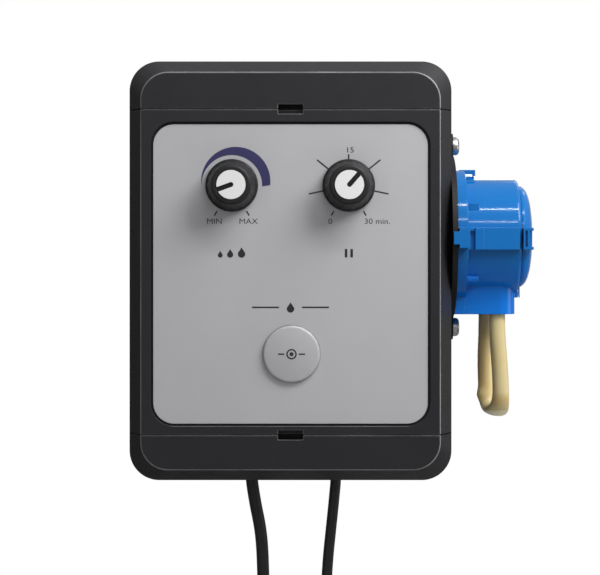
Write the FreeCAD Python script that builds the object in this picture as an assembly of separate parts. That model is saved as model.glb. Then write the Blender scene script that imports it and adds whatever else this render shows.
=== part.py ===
"""A wall-mounted dosing pump: a black control box with a tube pump head on its right side.

The frame has its origin on the wall, at the middle of the box: x points to the pump,
y points into the wall, so the front of the box is at negative y, and z points up.
Every size is in millimetres. Each sub-part has a function that returns its solids.
"""

import FreeCAD, Part
import math
import os
from FreeCAD import Vector

# ---- Allowances for working with the shapes
OVER = 1.0  # how far a cutter reaches past what it cuts
TOUCH = 0.01  # how near an edge lies to a plane that it counts as on

# ---- Box: a tray on the wall, a lid in the middle of the front, and two snap-on end covers
BODY_W = 163.0
BODY_H = 212.0
BODY_D = 90.0
CORNER_R = 15.0
FACE_CORNER_LESS = 1.0  # how much smaller the corners of the front face are
WALL = 3.0
BACK_EDGE_R = 1.5
FLANK_IN = 6.5  # how far the front face is smaller than the box, on each side
FLANK_D = 14.0  # depth of the sloping flank, which is the depth of the lid
FACE_EDGE_R = 1.0
LID_T = 4.0
COVER_T = 2.5
TOP_COVER_H = 25.0
BOTTOM_COVER_H = 24.0
SEAM_GAP = 0.5
LEDGE_T = 4.0
LEDGE_CLEAR = 0.5
LEDGE_UNDER = 1.0  # how far a ledge runs under the middle of the lid
NOTCH_W = 12.5
NOTCH_H = 4.8
NOTCH_D = 3.5
SNAP_W = 10.0
SNAP_T = 1.6
SNAP_DEEP = 3.0
SNAP_CLEAR = 0.35
SNAP_X = 18.0
SNAP_FROM_SEAM = 10.0
GASKET = 1.2
GASKET_R = 3.0
GASKET_CLEAR = 0.05

# ---- Screws of the box
WALL_HOLE_IN = 15.5  # from the box's side
WALL_HOLE_DOWN = 14.0  # from the box's top and bottom
WALL_HOLE_R = 2.3
WALL_SEAT_T = 6.0
WELL_R = 4.6
POST_WALL = 1.9
LID_SCREW_X = 40.0
LID_SCREW_R = 1.5
LID_HEAD_R = 3.0
LID_HEAD_T = 2.2
LID_SCREW_DEEP = 12.0
SCREW_CLEAR = 0.1
SCREW_END_CLEAR = 1.0  # from a screw's tip to the bottom of its hole
NUT_CLEAR = 0.02
SLOT_W = 0.8
SCREW_HOLE_CLEAR = 0.3

# ---- Panel, a satin plate in a recess of the lid
PANEL_IN = 12.8  # from the box's side
PANEL_BELOW_SEAM = 7.6
PANEL_ABOVE_SEAM = 5.6
PANEL_R = 10.5
PANEL_T = 1.0
PANEL_GAP = 1.2
RECESS_D = 2.0

# ---- Knobs and the potentiometers that they turn
LEFT_X = -29.4
RIGHT_X = 29.1
KNOB_DOWN = 30.6  # from the panel's top
KNOB_R = 13.2
KNOB_TOP_R = 9.4
KNOB_H = 14.5
KNOB_FOOT_H = 2.2
KNOB_FOOT_OUT = 1.2  # how far the foot stands out from the neck
KNOB_FOOT_LEAN = 0.2
KNOB_FOOT_SLOPE = 0.8
KNOB_TOP_EDGE = 1.0
KNOB_GAP = 0.8
KNOB_HOLLOW_R = 7.6
KNOB_HOLLOW_D = 4.0
KNOB_RIBS = 18
RIB_R = 1.1
RIB_OUT = 0.6  # from the knob's wall to a groove's middle, in groove radii
CAP_R = 7.2
CAP_T = 1.6
CAP_PROUD = 0.6
POINTER_W = 2.4
POINTER_D = 0.6
LEFT_POINTER = -110.0  # degrees clockwise from the top, seen from the front
RIGHT_POINTER = 41.0
POT_R = 8.2
POT_T = 8.0
POT_PIN_STEP = 5.0
POT_PIN_W = 1.0
POT_PIN_DOWN = 2.5  # from the pot's edge to its pins
POT_PIN_CLEAR = 0.3
POT_FOOT_W = 12.0
POT_FOOT_T = 2.0
POT_FOOT_IN = 0.75  # where the foot meets the can, in radii of the can
POT_END = 2.0  # from the shaft's end to the back of the pot
BUSHING_R = 3.6
BUSHING_OUT = 2.6
SHAFT_R = 3.0
SHAFT_CLEAR = 0.05
SHAFT_IN_KNOB = 9.0
NUT_R = 5.6
NUT_T = 2.0

# ---- Push button
BUTTON_X = 0.5
BUTTON_UP = 34.9  # from the panel's bottom
BUTTON_R = 14.2
BUTTON_GAP = 0.3
BUTTON_PROUD = 2.0
BUTTON_RISE = 1.1  # of the dome, from its rim to its middle
BUTTON_WALL = 2.0
BUTTON_EDGE_R = 1.0
BUTTON_T = 2.6
BUTTON_TRAVEL = 1.2
BUTTON_LIP = 1.6
BUTTON_LIP_T = 1.2
STEM_R = 3.0
STEM_CLEAR = 0.1
GUIDE_R = 5.0
GUIDE_L = 4.5  # how much of the stem it holds when the button is in
DOME_R = 11.0
DOME_T = 0.8
DOME_FOOT = 2.0
DOME_FROM_GUIDE = 1.0
SWITCH_R = 2.0
SWITCH_H = 3.0
SWITCH_CLEAR = 0.1

# ---- Circuit board behind the lid
BOARD_IN = 21.5  # from the box's side
BOARD_DOWN = 47.0  # from the box's top and bottom
BOARD_T = 1.6
BOARD_GAP = 1.5  # from the back of the potentiometers to the board
BOARD_CORNER_R = 2.0
BOARD_BOSS_R = 3.5
BOARD_BOSS_SINK = 0.5
BOARD_SCREW_IN = 5.0
BOARD_SCREW_R = 1.2
BOARD_SCREW_LONG = 5.0
BOARD_SCREW_CLEAR = 1.0
BOARD_HEAD_R = 2.4
BOARD_HEAD_T = 1.6

# ---- Power supply in the tray
CORE_W = 48.0
CORE_H = 40.0
CORE_D = 22.0
CORE_IN = 35.5  # from the box's left side to the middle of the core
CORE_Z = -28.0
CORE_FOOT_R = 4.0
CORE_FOOT_IN = 5.0  # from the core's edges
COIL_W = 28.0
COIL_OUT = 8.0
COIL_GAP = 6.0
COIL_CLEAR = 1.0
COIL_END_CLEAR = 0.5
TERMINAL_W = 62.0
TERMINAL_H = 14.0
TERMINAL_D = 16.0
TERMINAL_WAYS = 5
TERMINAL_WELL_R = 2.6
TERMINAL_WELL_D = 5.0

# ---- Cables, which leave the bottom of the box
CABLE_Y = -35.0
MAINS_X = -21.2
MAINS_R = 3.2
SIGNAL_X = 24.3
SIGNAL_R = 2.8
GROMMET_CLEAR = 0.7
GROMMET_WALL = 1.6
GROMMET_LIP = 2.0
GROMMET_LIP_T = 2.6
GROMMET_EDGE_R = 1.0
GROMMET_COLLAR_T = 1.5
CLAMP_W = 20.0
CLAMP_H = 7.0
CLAMP_T = 3.0
CLAMP_GRIP = 0.3
CLAMP_SCREW_R = 1.5
CLAMP_SCREW_LONG = 12.0
CLAMP_HEAD_R = 2.6
CLAMP_HEAD_T = 1.8
CLAMP_HEAD_IN = 0.4  # from the clamp's end to a screw's head
COIL_MID = 5.5  # radius of a coil's middle turn, in cable diameters
COIL_WIDE = 3.0  # width of a coil's bundle of turns, in cable diameters
COIL_HIGH = 2.8
TIE_W = 5.0
TIE_T = 1.2
TAIL = 42.0  # from a coil's middle down to its plug
PLUG_W = 35.0
PLUG_BODY_L = 33.0
PLUG_T = 14.0
PLUG_NECK_L = 14.0
PLUG_NECK_R = 5.2
PLUG_EDGE_R = 6.0
PLUG_SHOULDER = 3.0
NECK_WALL = 0.8  # of a plug's neck, round its cable
PIN_R = 2.0
PIN_L = 19.0
PIN_APART = 18.6
JACK_R = 7.0
JACK_L = 30.0
JACK_NECK_R = 5.5
JACK_EDGE = 1.0
JACK_PIN_R = 4.6
JACK_PIN_L = 11.0

# ---- Pump drive: the motor and its gearbox hang on the inside of the right wall
PUMP_DOWN = 63.5  # from the upper seam to the pump's axis
FLANGE_R = 42.0
FLANGE_T = 2.8
EAR_R = 6.5
EAR_Z = 47.0
EAR_SCREW_R = 2.0
PAN_R = 4.8
PAN_T = 3.3
PAN_ROUND = 0.6  # radius of the head's edge, in heights of the head
CROSS_DEEP = 0.55  # depth of the cross recess, in heights of the head
CROSS_HALF_L = 2.2
CROSS_HALF_W = 0.45
EAR_NUT_R = 4.2
EAR_NUT_T = 3.2
EAR_SCREW_PAST = 1.0  # how far a screw comes out of its nut
DRIVE_R = 3.0
DRIVE_CLEAR = 0.05
DRIVE_ROOM = 1.0
BUSH_R = 5.5
BOSS_R = 9.0
BOSS_CLEAR = 0.3
BOSS_SINK = 0.5
GEAR_MODULE = 0.85
PINION_TEETH = 12
WHEEL_TEETH = 36
GEAR_TIP = 0.85  # height of a tooth above the pitch circle, in modules
GEAR_ROOT = 1.2
TOOTH_T = 0.84  # of half the pitch: the rest is the backlash
TOOTH_ROOT = 1.45  # width of a tooth at its root, and then at its tip
TOOTH_TIP = 0.5
GEAR_W = 5.0
PINION_OVER = 0.5  # how far a pinion stands out beyond its wheel
GEAR_GAP = 1.5
CASE_T = 2.5
CASE_CLEAR = 1.2
CASE_LID_T = 3.0
IDLER_PIN_R = 2.0
PIN_WALL = 1.0  # left outside the idler pin's ends
MOTOR_R = 17.5
MOTOR_L = 46.0
MOTOR_EDGE_R = 1.5
MOTOR_BORE_L = 0.6  # in lengths of the motor
MOTOR_SHAFT_L = 0.55
MOTOR_SHAFT_R = 1.5
MOTOR_SHAFT_ROOM = 0.5
GEARBOX_SCREWS = 3
GEARBOX_SCREW_AT = 15.5
GEARBOX_SCREW_R = 1.5
GEARBOX_HEAD_R = 3.0
GEARBOX_SCREW_LONG = 7.5
GEARBOX_SEAT = 1.2  # of the flange, under a gearbox screw's head
GEARBOX_HEAD_DOWN = 0.2
GEARBOX_SLOT_D = 1.0

# ---- Pump head: a base, a housing with the rotor in it, and a domed cover
BASE_R = 34.5
BASE_T = 5.6
LATCH_T = 2.0
LATCH_CLEAR = 0.3
LATCH_WIDE = (-6.0, 4.2)  # a latch's foot, below and above the pump's axis
LATCH_NARROW = (-4.2, 2.3)
ARM_W = 10.0
ARM_L = 5.8  # how far the top arm reaches over the housing
ARM_T = 2.3
ARM_HOOK_L = 1.6
ARM_HOOK_T = 1.0
CATCH_W = 9.0
CATCH_X = (1.1, 5.2)  # the catch under the arm, from the base
CATCH_IN = 2.5
CATCH_OUT = 1.5
HOUSING_R = 29.6
HOUSING_L = 27.7
HOUSING_FLOOR = 3.0
HOUSING_EDGE = 1.9
TRACK_R = 25.8
COVER_GAP = 0.4
DOME_RIM_R = 26.2
DOME_H = 6.7
DOME_RIM = 1.4
DOME_WALL = 2.2
DOME_STEPS = 7
DOME_POWER = 0.62  # how square the dome's profile is: 1 is an ellipse
DOME_ROOM = (0.62, 0.35)  # radii of the space inside the dome, in rim radii
BAND_H = 11.1
BAND_Z = -1.3
BAND_OUT = 2.8
BAND_SHORT = 1.6  # how far the side band ends before the housing does
BAND_PAD = 0.8
BAND_PAD_X = (3.5, 7.9)
BAND_SLOT_X = (0.9, 3.4)
BAND_SLOT_IN = 1.6
CLIP_L = 5.1
CLIP_RIM = 1.5
CLIP_GROOVE_X = (0.8, 2.0)
CLIP_CUT_X = 3.3
LUG_L = 6.0
UPPER_LUG_Y = (21.0, 26.6)
UPPER_LUG_Z = (12.9, 16.7)
LOWER_LUG_R = 2.05
LOWER_LUG_Y = 20.8
LOWER_LUG_Z = -21.65
SINK = 3.0  # how far a piece that is joined to a round wall runs into it
FOOT_W = 13.0
FOOT_L = 9.0
FOOT_Z = (-31.6, -27.0)
FOOT_CLIP_T = 0.6
BLOCK_L = 26.0
BLOCK_HALF_Y = 15.0
BLOCK_TOP = -20.0
BLOCK_BOTTOM = -40.0
BLOCK_EDGE_R = 9.0
PORT_Y = 9.0
PORT_SHIFT = 1.85
TUBE_R = 4.2
TUBE_CLEAR = 0.2
SQUEEZED = 3.9
TUBE_FLAT_W = 11.5
TUBE_SIDE_GAP = 2.0
TUBE_OPENING_IN = 1.0  # how far the gap in the flat tube ends before its ports
TUBE_LEG_UP = 0.8  # where the two ends meet the flat tube, in radii of the track
ROTOR_GAP = 1.5
ROTOR_END_GAP = 2.0
ROTOR_PLATE_T = 2.2
ROTOR_PLATE_R = 20.4
ROTOR_HUB_R = 7.0
ROLLERS = 3
ROLLER_R = 6.0
ROLLER_GAP = 0.3
ROLLER_PIN_R = 1.5
ROLLER_PIN_CLEAR = 0.05
SHAFT_IN_COVER = 1.5
CONNECTOR_R = 3.4
CONNECTOR_L = 10.0
HOSE_IN = 4.0
BEND_REACH = 0.45  # how much of a cord's shorter run a bend takes

# ---- Places that follow from the sizes
FRONT_Y = -BODY_D
RIM_Y = -(BODY_D - FLANK_D)
RECESS_Y = FRONT_Y + RECESS_D
PANEL_Y = RECESS_Y - PANEL_T
LID_INNER_Y = FRONT_Y + LID_T
SEAM_TOP_Z = BODY_H / 2 - TOP_COVER_H
SEAM_BOTTOM_Z = -BODY_H / 2 + BOTTOM_COVER_H
WALL_HOLE_X = BODY_W / 2 - WALL_HOLE_IN
WALL_HOLE_Z = BODY_H / 2 - WALL_HOLE_DOWN
PANEL_TOP_Z = SEAM_TOP_Z - PANEL_BELOW_SEAM
PANEL_BOTTOM_Z = SEAM_BOTTOM_Z + PANEL_ABOVE_SEAM
PANEL_W = BODY_W - 2 * PANEL_IN
PANEL_H = PANEL_TOP_Z - PANEL_BOTTOM_Z
PANEL_Z = (PANEL_TOP_Z + PANEL_BOTTOM_Z) / 2
KNOB_Z = PANEL_TOP_Z - KNOB_DOWN
BUTTON_Z = PANEL_BOTTOM_Z + BUTTON_UP
BOARD_W = BODY_W - 2 * BOARD_IN
BOARD_H = BODY_H - 2 * BOARD_DOWN
CORE_X = -BODY_W / 2 + CORE_IN
PUMP_Y = -BODY_D / 2
PUMP_Z = SEAM_TOP_Z - PUMP_DOWN
BOTTOM_Z = -BODY_H / 2
LEDGE_Y = RIM_Y - LEDGE_T
LID_TOP_Z = SEAM_TOP_Z - SEAM_GAP / 2
LID_BOTTOM_Z = SEAM_BOTTOM_Z + SEAM_GAP / 2
SIDE_X = BODY_W / 2
FLANGE_X = SIDE_X + FLANGE_T
BASE_X = FLANGE_X + BASE_T
HOUSING_X = BASE_X + HOUSING_L
COVER_X = HOUSING_X + COVER_GAP
KNOB_Y = PANEL_Y - KNOB_GAP
BOARD_Y = LID_INNER_Y + POT_T + BOARD_GAP
BUTTON_TOP_Y = PANEL_Y - BUTTON_PROUD
GEAR_CENTRES = GEAR_MODULE * (PINION_TEETH + WHEEL_TEETH) / 2
WHEEL_X = SIDE_X - WALL - CASE_T - GEAR_GAP - GEAR_W
FIRST_WHEEL_X = WHEEL_X - GEAR_GAP - GEAR_W
CASE_BACK_X = FIRST_WHEEL_X - GEAR_GAP
MOTOR_X = CASE_BACK_X - CASE_LID_T
TRACK_X = BASE_X + HOUSING_FLOOR
TUBE_X = TRACK_X + ROTOR_GAP + ROTOR_PLATE_T + ROLLER_GAP + TUBE_FLAT_W / 2 + TUBE_SIDE_GAP
PORT_BOTTOM_Z = PUMP_Z + BLOCK_BOTTOM

# ---- Routes of the three free cords, as points chosen by hand
HOSE_ROUTE = [
    (TUBE_X + PORT_SHIFT, PUMP_Y - PORT_Y, PORT_BOTTOM_Z + HOSE_IN),
    (TUBE_X + PORT_SHIFT, PUMP_Y - PORT_Y, PORT_BOTTOM_Z - 10.5),
    (TUBE_X + 3.1, PUMP_Y - 9.6, PORT_BOTTOM_Z - 28.0),
    (TUBE_X + 3.6, PUMP_Y - 9.7, PORT_BOTTOM_Z - 50.2),
    (TUBE_X - 1.6, PUMP_Y + 9.7, PORT_BOTTOM_Z - 50.0),
    (TUBE_X - 2.6, PUMP_Y + 9.8, PORT_BOTTOM_Z - 28.5),
    (TUBE_X - PORT_SHIFT, PUMP_Y + PORT_Y, PORT_BOTTOM_Z - 10.5),
    (TUBE_X - PORT_SHIFT, PUMP_Y + PORT_Y, PORT_BOTTOM_Z + HOSE_IN),
]
MAINS_ROUTE = [
    (MAINS_X, CABLE_Y, BOTTOM_Z + 32.0),
    (MAINS_X, CABLE_Y, BOTTOM_Z + 2.0),
    (MAINS_X + 2.4, CABLE_Y - 0.2, BOTTOM_Z - 15.0),
    (MAINS_X + 5.9, CABLE_Y, BOTTOM_Z - 31.5),
    (MAINS_X + 6.9, CABLE_Y + 0.6, BOTTOM_Z - 51.0),
    (MAINS_X + 7.1, CABLE_Y + 1.0, BOTTOM_Z - 77.0),
    (MAINS_X + 6.2, CABLE_Y + 1.0, BOTTOM_Z - 106.0),
]
SIGNAL_ROUTE = [
    (SIGNAL_X, CABLE_Y, BOTTOM_Z + 32.0),
    (SIGNAL_X, CABLE_Y, BOTTOM_Z + 2.0),
    (SIGNAL_X - 1.5, CABLE_Y - 0.2, BOTTOM_Z - 15.0),
    (SIGNAL_X - 3.3, CABLE_Y, BOTTOM_Z - 32.0),
    (SIGNAL_X - 5.0, CABLE_Y + 0.6, BOTTOM_Z - 49.0),
    (SIGNAL_X - 6.0, CABLE_Y + 1.0, BOTTOM_Z - 75.0),
    (SIGNAL_X - 5.8, CABLE_Y + 1.0, BOTTOM_Z - 104.0),
]


# ---- Basic shapes
def box(x0, x1, y0, y1, z0, z1):
    return Part.makeBox(x1 - x0, y1 - y0, z1 - z0, Vector(x0, y0, z0))


def rod_x(radius, x0, x1, y, z):
    return Part.makeCylinder(radius, x1 - x0, Vector(x0, y, z), Vector(1, 0, 0))


def rod_y(radius, y0, y1, x, z):
    return Part.makeCylinder(radius, y1 - y0, Vector(x, y0, z), Vector(0, 1, 0))


def rod_z(radius, z0, z1, x, y):
    return Part.makeCylinder(radius, z1 - z0, Vector(x, y, z0), Vector(0, 0, 1))


def fused(shapes):
    whole = shapes[0].multiFuse(shapes[1:]) if len(shapes) > 1 else shapes[0]
    return whole.removeSplitter()


def cut(shape, tools):
    return shape.cut(Part.makeCompound(tools))


def outline(width, height, radius, y, z_mid=0.0):
    """A rounded rectangle in the plane y, as a wire."""
    x, z, r = width / 2, height / 2, radius
    turn = r * (1 - math.sqrt(0.5))
    corners = [(1, 1), (-1, 1), (-1, -1), (1, -1)]
    edges = []
    for i, (sx, sz) in enumerate(corners):
        across = Vector(sx * (x - r), y, z_mid + sz * z)
        along = Vector(sx * x, y, z_mid + sz * (z - r))
        middle = Vector(sx * (x - turn), y, z_mid + sz * (z - turn))
        first, last = (along, across) if i % 2 == 0 else (across, along)
        edges.append((first, middle, last))
    lines = []
    for i, (first, middle, last) in enumerate(edges):
        lines.append(Part.Arc(first, middle, last).toShape())
        lines.append(Part.makeLine(last, edges[(i + 1) % 4][0]))
    return Part.Wire(lines)


def plate(width, height, radius, y0, y1, z_mid=0.0):
    face = Part.Face(outline(width, height, radius, y0, z_mid))
    return face.extrude(Vector(0, y1 - y0, 0))


def turned_x(profile, y, z):
    """A solid of revolution about the x direction, from (x, radius) points."""
    points = [Vector(x, y, z + r) for x, r in profile]
    face = Part.Face(Part.makePolygon(points + points[:1]))
    return face.revolve(Vector(0, y, z), Vector(1, 0, 0), 360)


def turned_y(profile, x, z):
    """A solid of revolution about the y direction, from (y, radius) points."""
    points = [Vector(x, y, z + r) for y, r in profile]
    face = Part.Face(Part.makePolygon(points + points[:1]))
    return face.revolve(Vector(x, 0, z), Vector(0, 1, 0), 360)


def tube_along(name, points, radius):
    """A cord's solid: straight runs joined by tangent arcs, each as large as its runs allow."""
    points = [Vector(*p) for p in points]
    edges, at, radii = [], points[0], []
    for before, corner, after in zip(points, points[1:], points[2:]):
        back, on = before - corner, after - corner
        half_turn = (math.pi - back.getAngle(on)) / 2
        reach = BEND_REACH * min(back.Length, on.Length)
        radii.append(reach / math.tan(half_turn))
        start = corner + back.normalize() * reach
        end = corner + on.normalize() * reach
        inward = (back + on).normalize()
        middle = corner + inward * (radii[-1] / math.cos(half_turn) - radii[-1])
        edges.append(Part.makeLine(at, start))
        edges.append(Part.Arc(start, middle, end).toShape())
        at = end
    edges.append(Part.makeLine(at, points[-1]))
    path = Part.Wire(edges)
    section = Part.Wire(Part.makeCircle(radius, points[0], points[1] - points[0]))
    solid = path.makePipeShell([section], True, False)
    share = solid.Volume / (math.pi * radius**2 * path.Length)
    print(f"{name}: {path.Length:.1f} mm, volume share {share:.4f}")
    print(f"  radii in diameters: {[round(r / radius / 2, 1) for r in radii]}")
    return solid


# ---- Box
def front_form(inset):
    """The lid and both covers as one block, with its walls moved in by inset."""
    wide, high = BODY_W - 2 * inset, BODY_H - 2 * inset
    back = outline(wide, high, CORNER_R - inset, RIM_Y)
    front = outline(
        wide - 2 * FLANK_IN, high - 2 * FLANK_IN, CORNER_R - inset - FACE_CORNER_LESS, FRONT_Y
    )
    return Part.makeLoft([back, front], True, True)


def crisp_front(shape):
    """Rounds the edge between the front face and the flank."""
    edges = []
    for edge in shape.Edges:
        flat = abs(edge.BoundBox.YMax - FRONT_Y) < TOUCH
        x, z = abs(edge.CenterOfMass.x), abs(edge.CenterOfMass.z)
        outer = x > BODY_W / 2 - FLANK_IN - CORNER_R or z > BODY_H / 2 - FLANK_IN - CORNER_R
        if flat and outer:
            edges.append(edge)
    return shape.makeFillet(FACE_EDGE_R, edges)


def between(z0, z1):
    return box(-BODY_W, BODY_W, FRONT_Y - OVER, RIM_Y + OVER, z0, z1)


def pry_notch(seam_z):
    half = NOTCH_H / 2
    return box(
        -NOTCH_W / 2, NOTCH_W / 2, FRONT_Y - OVER, FRONT_Y + NOTCH_D, seam_z - half, seam_z + half
    )


def corner_places(x, z):
    return [(sx * x, sz * z) for sx in (-1, 1) for sz in (-1, 1)]


def snap_places(z):
    return [(-SNAP_X, z), (SNAP_X, z)]


def gasket_ring(extra):
    wide = BODY_W - WALL + GASKET
    high = LID_TOP_Z - LID_BOTTOM_Z - WALL + GASKET
    middle = (LID_TOP_Z + LID_BOTTOM_Z) / 2
    outer = plate(wide + 2 * extra, high + 2 * extra, GASKET_R, RIM_Y, RIM_Y + GASKET, middle)
    less = 2 * GASKET + 2 * extra
    hole = plate(
        wide - less, high - less, GASKET_R - GASKET, RIM_Y - OVER, RIM_Y + GASKET + OVER, middle
    )
    return outer.cut(hole)


def cable_places():
    return [(MAINS_X, MAINS_R), (SIGNAL_X, SIGNAL_R)]


def clamp_z():
    return (LID_BOTTOM_Z - BODY_H / 2 + WALL) / 2


def back_shell():
    outer = plate(BODY_W, BODY_H, CORNER_R, RIM_Y, 0)
    back_edges = [e for e in outer.Edges if abs(e.BoundBox.YMin) < TOUCH]
    outer = outer.makeFillet(BACK_EDGE_R, back_edges)
    inner = plate(
        BODY_W - 2 * WALL, BODY_H - 2 * WALL, CORNER_R - WALL, RIM_Y - OVER, -WALL
    )
    shell = outer.cut(inner)
    half = BODY_W / 2 - WALL / 2
    added = [
        box(-half, half, RIM_Y, -WALL, LID_TOP_Z - WALL, LID_TOP_Z),
        box(-half, half, RIM_Y, -WALL, LID_BOTTOM_Z, LID_BOTTOM_Z + WALL),
    ]
    taken = []
    for x, z in corner_places(WALL_HOLE_X, WALL_HOLE_Z):
        added.append(rod_y(WELL_R + POST_WALL, RIM_Y, -WALL, x, z))
        taken.append(rod_y(WELL_R, RIM_Y - OVER, -WALL_SEAT_T, x, z))
        taken.append(rod_y(WALL_HOLE_R, RIM_Y, 1, x, z))
    pilot = LID_SCREW_R + SCREW_CLEAR
    for x, z in corner_places(LID_SCREW_X, WALL_HOLE_Z):
        added.append(rod_y(pilot + POST_WALL, RIM_Y, -WALL, x, z))
        taken.append(rod_y(pilot, RIM_Y - OVER, RIM_Y + LID_SCREW_DEEP, x, z))
    for x, radius in cable_places():
        seat = CABLE_Y + radius + CLAMP_GRIP
        z = clamp_z()
        added.append(
            box(x - CLAMP_W / 2, x + CLAMP_W / 2, seat, -WALL, z - CLAMP_H / 2, z + CLAMP_H / 2)
        )
        for side in (-1, 1):
            taken.append(
                rod_y(
                    CLAMP_SCREW_R + SCREW_CLEAR,
                    seat - OVER,
                    seat + CLAMP_SCREW_LONG,
                    x + side * (CLAMP_W / 2 - CLAMP_HEAD_R - CLAMP_HEAD_IN),
                    z,
                )
            )
        hole = radius + GROMMET_CLEAR + GROMMET_WALL
        taken.append(rod_z(hole, -BODY_H / 2 - OVER, -BODY_H / 2 + WALL + OVER, x, CABLE_Y))
        taken.append(
            rod_z(radius + GROMMET_CLEAR, LID_BOTTOM_Z - OVER, LID_BOTTOM_Z + WALL + OVER, x, CABLE_Y)
        )
    added.append(terminal_bench())
    for x, z in core_feet():
        added.append(rod_y(CORE_FOOT_R, -WALL - COIL_OUT, -WALL, x, z))
    wall_hole = BOSS_R + BOSS_CLEAR
    taken.append(rod_x(wall_hole, SIDE_X - WALL - OVER, SIDE_X + OVER, PUMP_Y, PUMP_Z))
    for z in ear_heights():
        taken.append(
            rod_x(EAR_SCREW_R + SCREW_HOLE_CLEAR, SIDE_X - WALL - OVER, SIDE_X + OVER, PUMP_Y, z)
        )
    for y, z in gearbox_screw_places():
        taken.append(
            rod_x(GEARBOX_SCREW_R + SCREW_HOLE_CLEAR, SIDE_X - WALL - OVER, SIDE_X + OVER, y, z)
        )
    taken.append(gasket_ring(GASKET_CLEAR))
    return [cut(fused([shell] + added), taken)]


def lid_gasket():
    return [gasket_ring(0.0)]


def ledge():
    """The part of the lid that the end covers hide: a plate on the tray's posts."""
    drop = LEDGE_T / FLANK_D
    wide = BODY_W - 2 * (COVER_T + FLANK_IN * drop + LEDGE_CLEAR)
    high = BODY_H - 2 * (COVER_T + FLANK_IN * drop + LEDGE_CLEAR)
    return plate(wide, high, CORNER_R - COVER_T - LEDGE_CLEAR, LEDGE_Y, RIM_Y)


def snap_z(sign):
    return LID_TOP_Z + SNAP_FROM_SEAM if sign > 0 else LID_BOTTOM_Z - SNAP_FROM_SEAM


def front_lid():
    middle = front_form(0).common(between(LID_BOTTOM_Z, LID_TOP_Z))
    cavity = front_form(WALL).common(between(LID_BOTTOM_Z + WALL, LID_TOP_Z - WALL))
    cavity = cavity.common(box(-BODY_W, BODY_W, LID_INNER_Y, RIM_Y + OVER, -BODY_H, BODY_H))
    middle = crisp_front(middle).cut(cavity)
    ledges = ledge().cut(between(LID_BOTTOM_Z + LEDGE_UNDER, LID_TOP_Z - LEDGE_UNDER))
    added = [middle, ledges]
    taken = [
        plate(
            PANEL_W + 2 * PANEL_GAP,
            PANEL_H + 2 * PANEL_GAP,
            PANEL_R + PANEL_GAP,
            FRONT_Y - OVER,
            RECESS_Y,
            PANEL_Z,
        ),
        pry_notch(SEAM_TOP_Z),
        pry_notch(SEAM_BOTTOM_Z),
    ]
    for x, z in corner_places(WALL_HOLE_X, WALL_HOLE_Z):
        taken.append(rod_y(WELL_R, LEDGE_Y - OVER, RIM_Y + OVER, x, z))
    for x, z in corner_places(LID_SCREW_X, WALL_HOLE_Z):
        taken.append(rod_y(LID_SCREW_R + SCREW_HOLE_CLEAR, LEDGE_Y - OVER, RIM_Y + OVER, x, z))
    for sign in (-1, 1):
        for x, z in snap_places(snap_z(sign)):
            half_w, half_t = SNAP_W / 2 + SNAP_CLEAR, SNAP_T / 2 + SNAP_CLEAR
            taken.append(
                box(x - half_w, x + half_w, LEDGE_Y - OVER, RIM_Y + OVER, z - half_t, z + half_t)
            )
    for x in (LEFT_X, RIGHT_X):
        taken.append(rod_y(BUSHING_R + SCREW_CLEAR, FRONT_Y - OVER, LID_INNER_Y + OVER, x, KNOB_Z))
    taken.append(
        rod_y(BUTTON_R + BUTTON_GAP, FRONT_Y - OVER, LID_INNER_Y + OVER, BUTTON_X, BUTTON_Z)
    )
    for x, z in board_corners():
        added.append(rod_y(BOARD_BOSS_R, LID_INNER_Y - BOARD_BOSS_SINK, BOARD_Y, x, z))
        pilot = BOARD_SCREW_R + SCREW_CLEAR
        deep = BOARD_Y - BOARD_SCREW_LONG - BOARD_SCREW_CLEAR
        taken.append(rod_y(pilot, deep, BOARD_Y + OVER, x, z))
    return [cut(fused(added), taken)]


def lid_screws():
    screws = []
    for x, z in corner_places(LID_SCREW_X, WALL_HOLE_Z):
        head = rod_y(LID_HEAD_R, LEDGE_Y - LID_HEAD_T, LEDGE_Y, x, z)
        slot = box(
            x - LID_HEAD_R, x + LID_HEAD_R, LEDGE_Y - LID_HEAD_T, LEDGE_Y - LID_HEAD_T / 2,
            z - SLOT_W / 2, z + SLOT_W / 2,
        )
        shank = rod_y(LID_SCREW_R, LEDGE_Y, RIM_Y + LID_SCREW_DEEP - SCREW_END_CLEAR, x, z)
        screws.append(fused([head, shank]).cut(slot))
    return screws


def end_cover(sign):
    seam_z = SEAM_TOP_Z if sign > 0 else SEAM_BOTTOM_Z
    edge_z = seam_z + sign * SEAM_GAP / 2
    low, high = sorted((edge_z, sign * BODY_H))
    shell = crisp_front(front_form(0).common(between(low, high)))
    room = front_form(COVER_T).common(
        box(-BODY_W, BODY_W, FRONT_Y + COVER_T, RIM_Y + OVER, -BODY_H, BODY_H)
    )
    shell = shell.cut(room)
    arms = []
    for x, z in snap_places(snap_z(sign)):
        arms.append(
            box(
                x - SNAP_W / 2, x + SNAP_W / 2, FRONT_Y + COVER_T / 2, RIM_Y + SNAP_DEEP,
                z - SNAP_T / 2, z + SNAP_T / 2,
            )
        )
    return [fused([shell] + arms).cut(pry_notch(seam_z))]


def front_panel():
    face = plate(PANEL_W, PANEL_H, PANEL_R, PANEL_Y, RECESS_Y, PANEL_Z)
    holes = [
        rod_y(BUSHING_R + SCREW_CLEAR, PANEL_Y - OVER, RECESS_Y + OVER, x, KNOB_Z)
        for x in (LEFT_X, RIGHT_X)
    ]
    holes.append(rod_y(BUTTON_R + BUTTON_GAP, PANEL_Y - OVER, RECESS_Y + OVER, BUTTON_X, BUTTON_Z))
    return [cut(face, holes)]


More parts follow.
